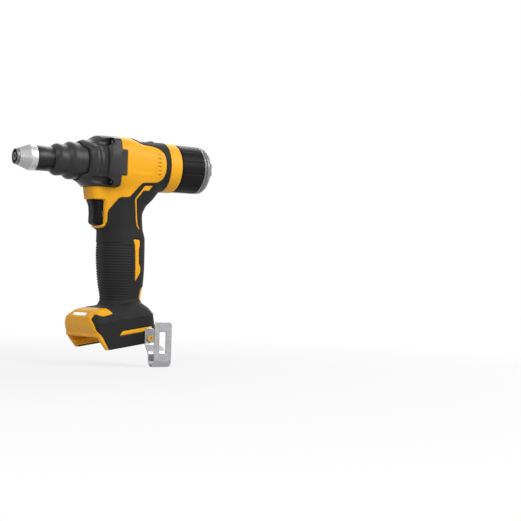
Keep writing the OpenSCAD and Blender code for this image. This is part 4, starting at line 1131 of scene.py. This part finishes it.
# Trigger with its stem, lamp lens and top bumper
TRIGGER_OUTLINE = [
    (-81.2, -37.4), (-90.4, -37.4), (-90.4, -62.8), (-88.6, -64.5), (-85.2, -64.5), (-83.0, -63.4),
    (-81.8, -61), (-82.1, -53), (-81.6, -45.5), (-80.1, -41.4), (-78.6, -39.3),
]
TRIGGER_HW = 8.95
TRIGGER_EDGE = 0.4
TRIGGER_ROUND = 4.4
TRIGGER_ROUND_X = (-90, -84)
STEM_Z = -52
STEM_R = 3
STEM_REAR, STEM_FRONT = -95.3, -88.6
LENS_INSET = 0.5
LENS_BACK = 4.3
BUMPER_REAR = -149
BUMPER_SLOPE = 0.16
BUMPER_PAD = ((BUMPER_REAR, -6, 20), (-139, 6, 24.4))
BUMPER_EDGE = 1.6
RIDGE = ((-148.4, -5, 23), (-146.6, 5, 25.8))
RIDGE_EDGE = 0.9


def trigger_form(x, y, z):
    outline = polygon_distance(x, z, filleted(TRIGGER_OUTLINE, 1.0))
    edge = TRIGGER_EDGE + TRIGGER_ROUND * ease(x, *TRIGGER_ROUND_X)
    form = round_overlap(outline, np.abs(y) - TRIGGER_HW, edge)
    stem = np.maximum(np.hypot(y, z - STEM_Z) - STEM_R, slab(x, STEM_REAR, STEM_FRONT))
    return np.minimum(form, stem)


def lens_form(x, y, z):
    layer = slab(foot_form(x, y, z), -LENS_BACK, -LENS_INSET)
    return round_overlap(lens_slot(x, y, z, 0.0), layer, 0.6)


def bumper_form(x, y, z):
    sloped = z + BUMPER_SLOPE * (x - BUMPER_REAR)
    pad = box_distance(x, y, sloped, *BUMPER_PAD) - BUMPER_EDGE
    ridge = box_distance(x, y, z, *RIDGE) - RIDGE_EDGE
    return np.maximum(round_union(pad, ridge, 1.5), -(head_form(x, y, z) + 0.1))


def make_small_parts():
    make_formed("trigger_moulding", trigger_form, (-95.5, -9.2, -65), (-78, 9.2, -37), 0.5,
                TRIGGER, "trigger", "trigger", "black_gloss")
    make_formed("led_lens_diffuser", lens_form, (-82, -16, -165), (-70, 16, -148), 0.4,
                LENS, "body", "led_lens", "clear_plastic")
    make_formed("top_bumper_pad", bumper_form, (-152, -9, 19), (-137, 9, 28), 0.4,
                RUBBER, "body", "top_bumper", "black_rubber")


# Belt hook: one bent sheet, with a narrow base on the foot and a wide slotted tongue
HOOK_X = -127.8
HOOK_W = 19.7
HOOK_BASE_W = 11
HOOK_T = 1.8
HOOK_OUT = 20.0
HOOK_STEP = 8
HOOK_Y = FOOT_HW + HOOK_T / 2 + 0.05
HOOK_TOP = -168.5
HOOK_BEND_Z = -201
HOOK_END = -161.6
HOOK_CORNER = 4.0
HOOK_HOLE_R = 2.1
# Heights between which the base widens into the tongue; the slot's sides behind HOOK_X and its ends
HOOK_FLARE = (-183.5, -188.5)
HOOK_SLOT_X = (12.4, 6.6)
HOOK_SLOT_Z = (-192.5, -173)
BEND_R = (HOOK_OUT - HOOK_STEP) / 2


def hook_path():
    """The sheet's middle line in Y and Z, from the top of its base down and up again."""
    base = [(HOOK_Y, HOOK_TOP), (HOOK_Y, -184), (HOOK_Y + 1, -186.2)]
    slope = [(HOOK_Y + 6.6, -192.5), (HOOK_Y + 7.8, -195)]
    bend = [
        (HOOK_Y + HOOK_STEP + BEND_R * (1 - math.cos(a)), HOOK_BEND_Z - BEND_R * math.sin(a))
        for a in np.linspace(0, math.pi, 13)
    ]
    return base + slope + bend + [(HOOK_Y + HOOK_OUT, HOOK_END + 1.6)]


HOOK_PATH = hook_path()


def hook_form(x, y, z):
    nearest = np.full(x.shape, 1e9)
    for (ay, az), (by, bz) in zip(HOOK_PATH, HOOK_PATH[1:]):
        ey, ez = by - ay, bz - az
        t = np.clip(((y - ay) * ey + (z - az) * ez) / (ey * ey + ez * ez), 0, 1)
        nearest = np.minimum(nearest, np.hypot(y - ay - t * ey, z - az - t * ez))
    sheet = nearest - HOOK_T / 2
    outer = y - HOOK_Y - HOOK_OUT / 2
    wide = slab(x, HOOK_X - HOOK_W, HOOK_X)
    narrow = slab(x, HOOK_X - HOOK_BASE_W, HOOK_X)
    flare = ease(z, *HOOK_FLARE)
    width = np.where(outer > 0, wide, narrow * (1 - flare) + wide * flare)
    top = z - np.where(outer > 0, HOOK_END, HOOK_TOP)
    plate = square_overlap(width + HOOK_CORNER, top + HOOK_CORNER) - HOOK_CORNER
    form = round_overlap(sheet, plate, 0.5)
    low = (HOOK_X - HOOK_SLOT_X[0], HOOK_Y + 12, HOOK_SLOT_Z[0])
    high = (HOOK_X - HOOK_SLOT_X[1], 90, HOOK_SLOT_Z[1])
    form = round_cut(form, box_distance(x, y, z, low, high) - 1, 0.4)
    hole = np.maximum(np.hypot(x - HOOK_SCREW[0], z - HOOK_SCREW[1]) - HOOK_HOLE_R, y - HOOK_Y - 4)
    return np.maximum(form, -hole)


def make_hook():
    low, high = (HOOK_X - HOOK_W, 36, -209), (HOOK_X, 60, -161)
    make_formed("belt_hook_sheet", hook_form, low, high, 0.45, ZINC, "body", "belt_hook", "zinc_sheet")


# Floor, light and camera, in metres
FLOOR_R = 6.0
FLOOR_SIDES = 64
FLOOR_GAP = 0.0002
FLOOR_GREY = 0.55
# Distances from the tool between which the floor turns white, and the share of white at each
FLOOR_FADE = (0.25, 0.8)
FLOOR_WHITE = (0.8, 1.0)
FILL_LIGHT = 0.25
LIT_POINT = Vector((-0.12, 0, -0.09))
# Softboxes: name, place, size and power
SOFTBOXES = (
    ("key_softbox", (-0.7, 0.85, 0.6), 0.7, 10.2),
    ("front_softbox", (0.75, 0.45, 0.75), 0.5, 4.2),
    ("low_softbox", (0.6, 1.15, 0.12), 0.4, 1.7),
    ("rear_softbox", (-0.7, -0.6, 0.6), 0.7, 4.0),
)


def seen_rays(tree):
    """1 for rays from the camera, from mirrors and through clear parts."""
    path = tree.nodes.new("ShaderNodeLightPath")
    seen = path.outputs["Is Camera Ray"]
    for kind in ("Is Glossy Ray", "Is Transmission Ray"):
        either = add(tree, "ShaderNodeMath", operation="MAXIMUM")
        tree.links.new(seen, either.inputs[0])
        tree.links.new(path.outputs[kind], either.inputs[1])
        seen = either.outputs[0]
    return seen


def show_mix(tree, share, first, second, output):
    """Shows the first shader, and a share of the second in its place."""
    mix = tree.nodes.new("ShaderNodeMixShader")
    for socket, value in zip(mix.inputs, (share, first.outputs[0], second.outputs[0])):
        tree.links.new(value, socket)
    tree.links.new(mix.outputs[0], tree.nodes[output].inputs["Surface"])


def make_floor():
    """A matt floor that the camera sees as white, greyer near the tool."""
    floor_z = cad_box[0].z - FLOOR_GAP
    mesh = bpy.data.meshes.new("studio_floor")
    turns = [2 * math.pi * i / FLOOR_SIDES for i in range(FLOOR_SIDES)]
    ring = [(FLOOR_R * math.cos(a), FLOOR_R * math.sin(a), floor_z) for a in turns]
    mesh.from_pydata(ring, [], [list(range(FLOOR_SIDES))])
    floor = bpy.data.objects.new("studio_floor", mesh)
    add_to_scene(floor)
    material, tree, shader = new_material("studio_floor")
    shader.inputs["Base Color"].default_value = (FLOOR_GREY, FLOOR_GREY, FLOOR_GREY, 1)
    shader.inputs["Roughness"].default_value = 0.9
    glow = add(tree, "ShaderNodeEmission", Color=(1, 1, 1, 1), Strength=1.0)
    place = tree.nodes.new("ShaderNodeTexCoord")
    distance = add(tree, "ShaderNodeVectorMath", operation="LENGTH")
    tree.links.new(place.outputs["Object"], distance.inputs[0])
    fade = ramp(tree, distance.outputs["Value"], *FLOOR_FADE, *FLOOR_WHITE)
    show_mix(tree, times(tree, fade, seen_rays(tree)), shader, glow, "Material Output")
    mesh.materials.append(material)


def make_light():
    world = bpy.data.worlds.new("studio")
    world.use_nodes = True
    tree = world.node_tree
    fill = tree.nodes["Background"]
    fill.inputs["Color"].default_value = (1, 1, 1, 1)
    fill.inputs["Strength"].default_value = FILL_LIGHT
    white = add(tree, "ShaderNodeBackground", Color=(1, 1, 1, 1), Strength=1.0)
    show_mix(tree, seen_rays(tree), fill, white, "World Output")
    bpy.context.scene.world = world
    for name, at, size, power in SOFTBOXES:
        lamp = bpy.data.lights.new(name, "AREA")
        lamp.size = size
        lamp.energy = power
        holder = bpy.data.objects.new(name, lamp)
        holder.location = at
        holder.rotation_euler = (LIT_POINT - Vector(at)).to_track_quat("-Z", "Y").to_euler()
        add_to_scene(holder)


def make_camera():
    out = math.cos(ELEVATION)
    back = Vector((math.sin(AZIMUTH) * out, math.cos(AZIMUTH) * out, math.sin(ELEVATION)))
    level = (-back).cross(Vector((0, 0, 1))).normalized()
    rise = level.cross(-back)
    right = level * math.cos(ROLL) + rise * math.sin(ROLL)
    up = rise * math.cos(ROLL) - level * math.sin(ROLL)
    data = bpy.data.cameras.new("photo_camera")
    data.sensor_width = SENSOR
    data.lens = FOCAL_PIXELS / IMAGE_SIZE * SENSOR
    data.clip_start = 0.05
    data.clip_end = 20
    camera = bpy.data.objects.new("photo_camera", data)
    camera.matrix_world = Matrix.Translation(EYE * MM) @ Matrix((right, up, back)).transposed().to_4x4()
    add_to_scene(camera)
    bpy.context.scene.camera = camera


make_body()
make_front_case()
make_nose()
make_rear()
make_small_parts()
make_hook()
make_floor()
make_light()
make_camera()
bpy.context.scene.view_settings.view_transform = "Standard"
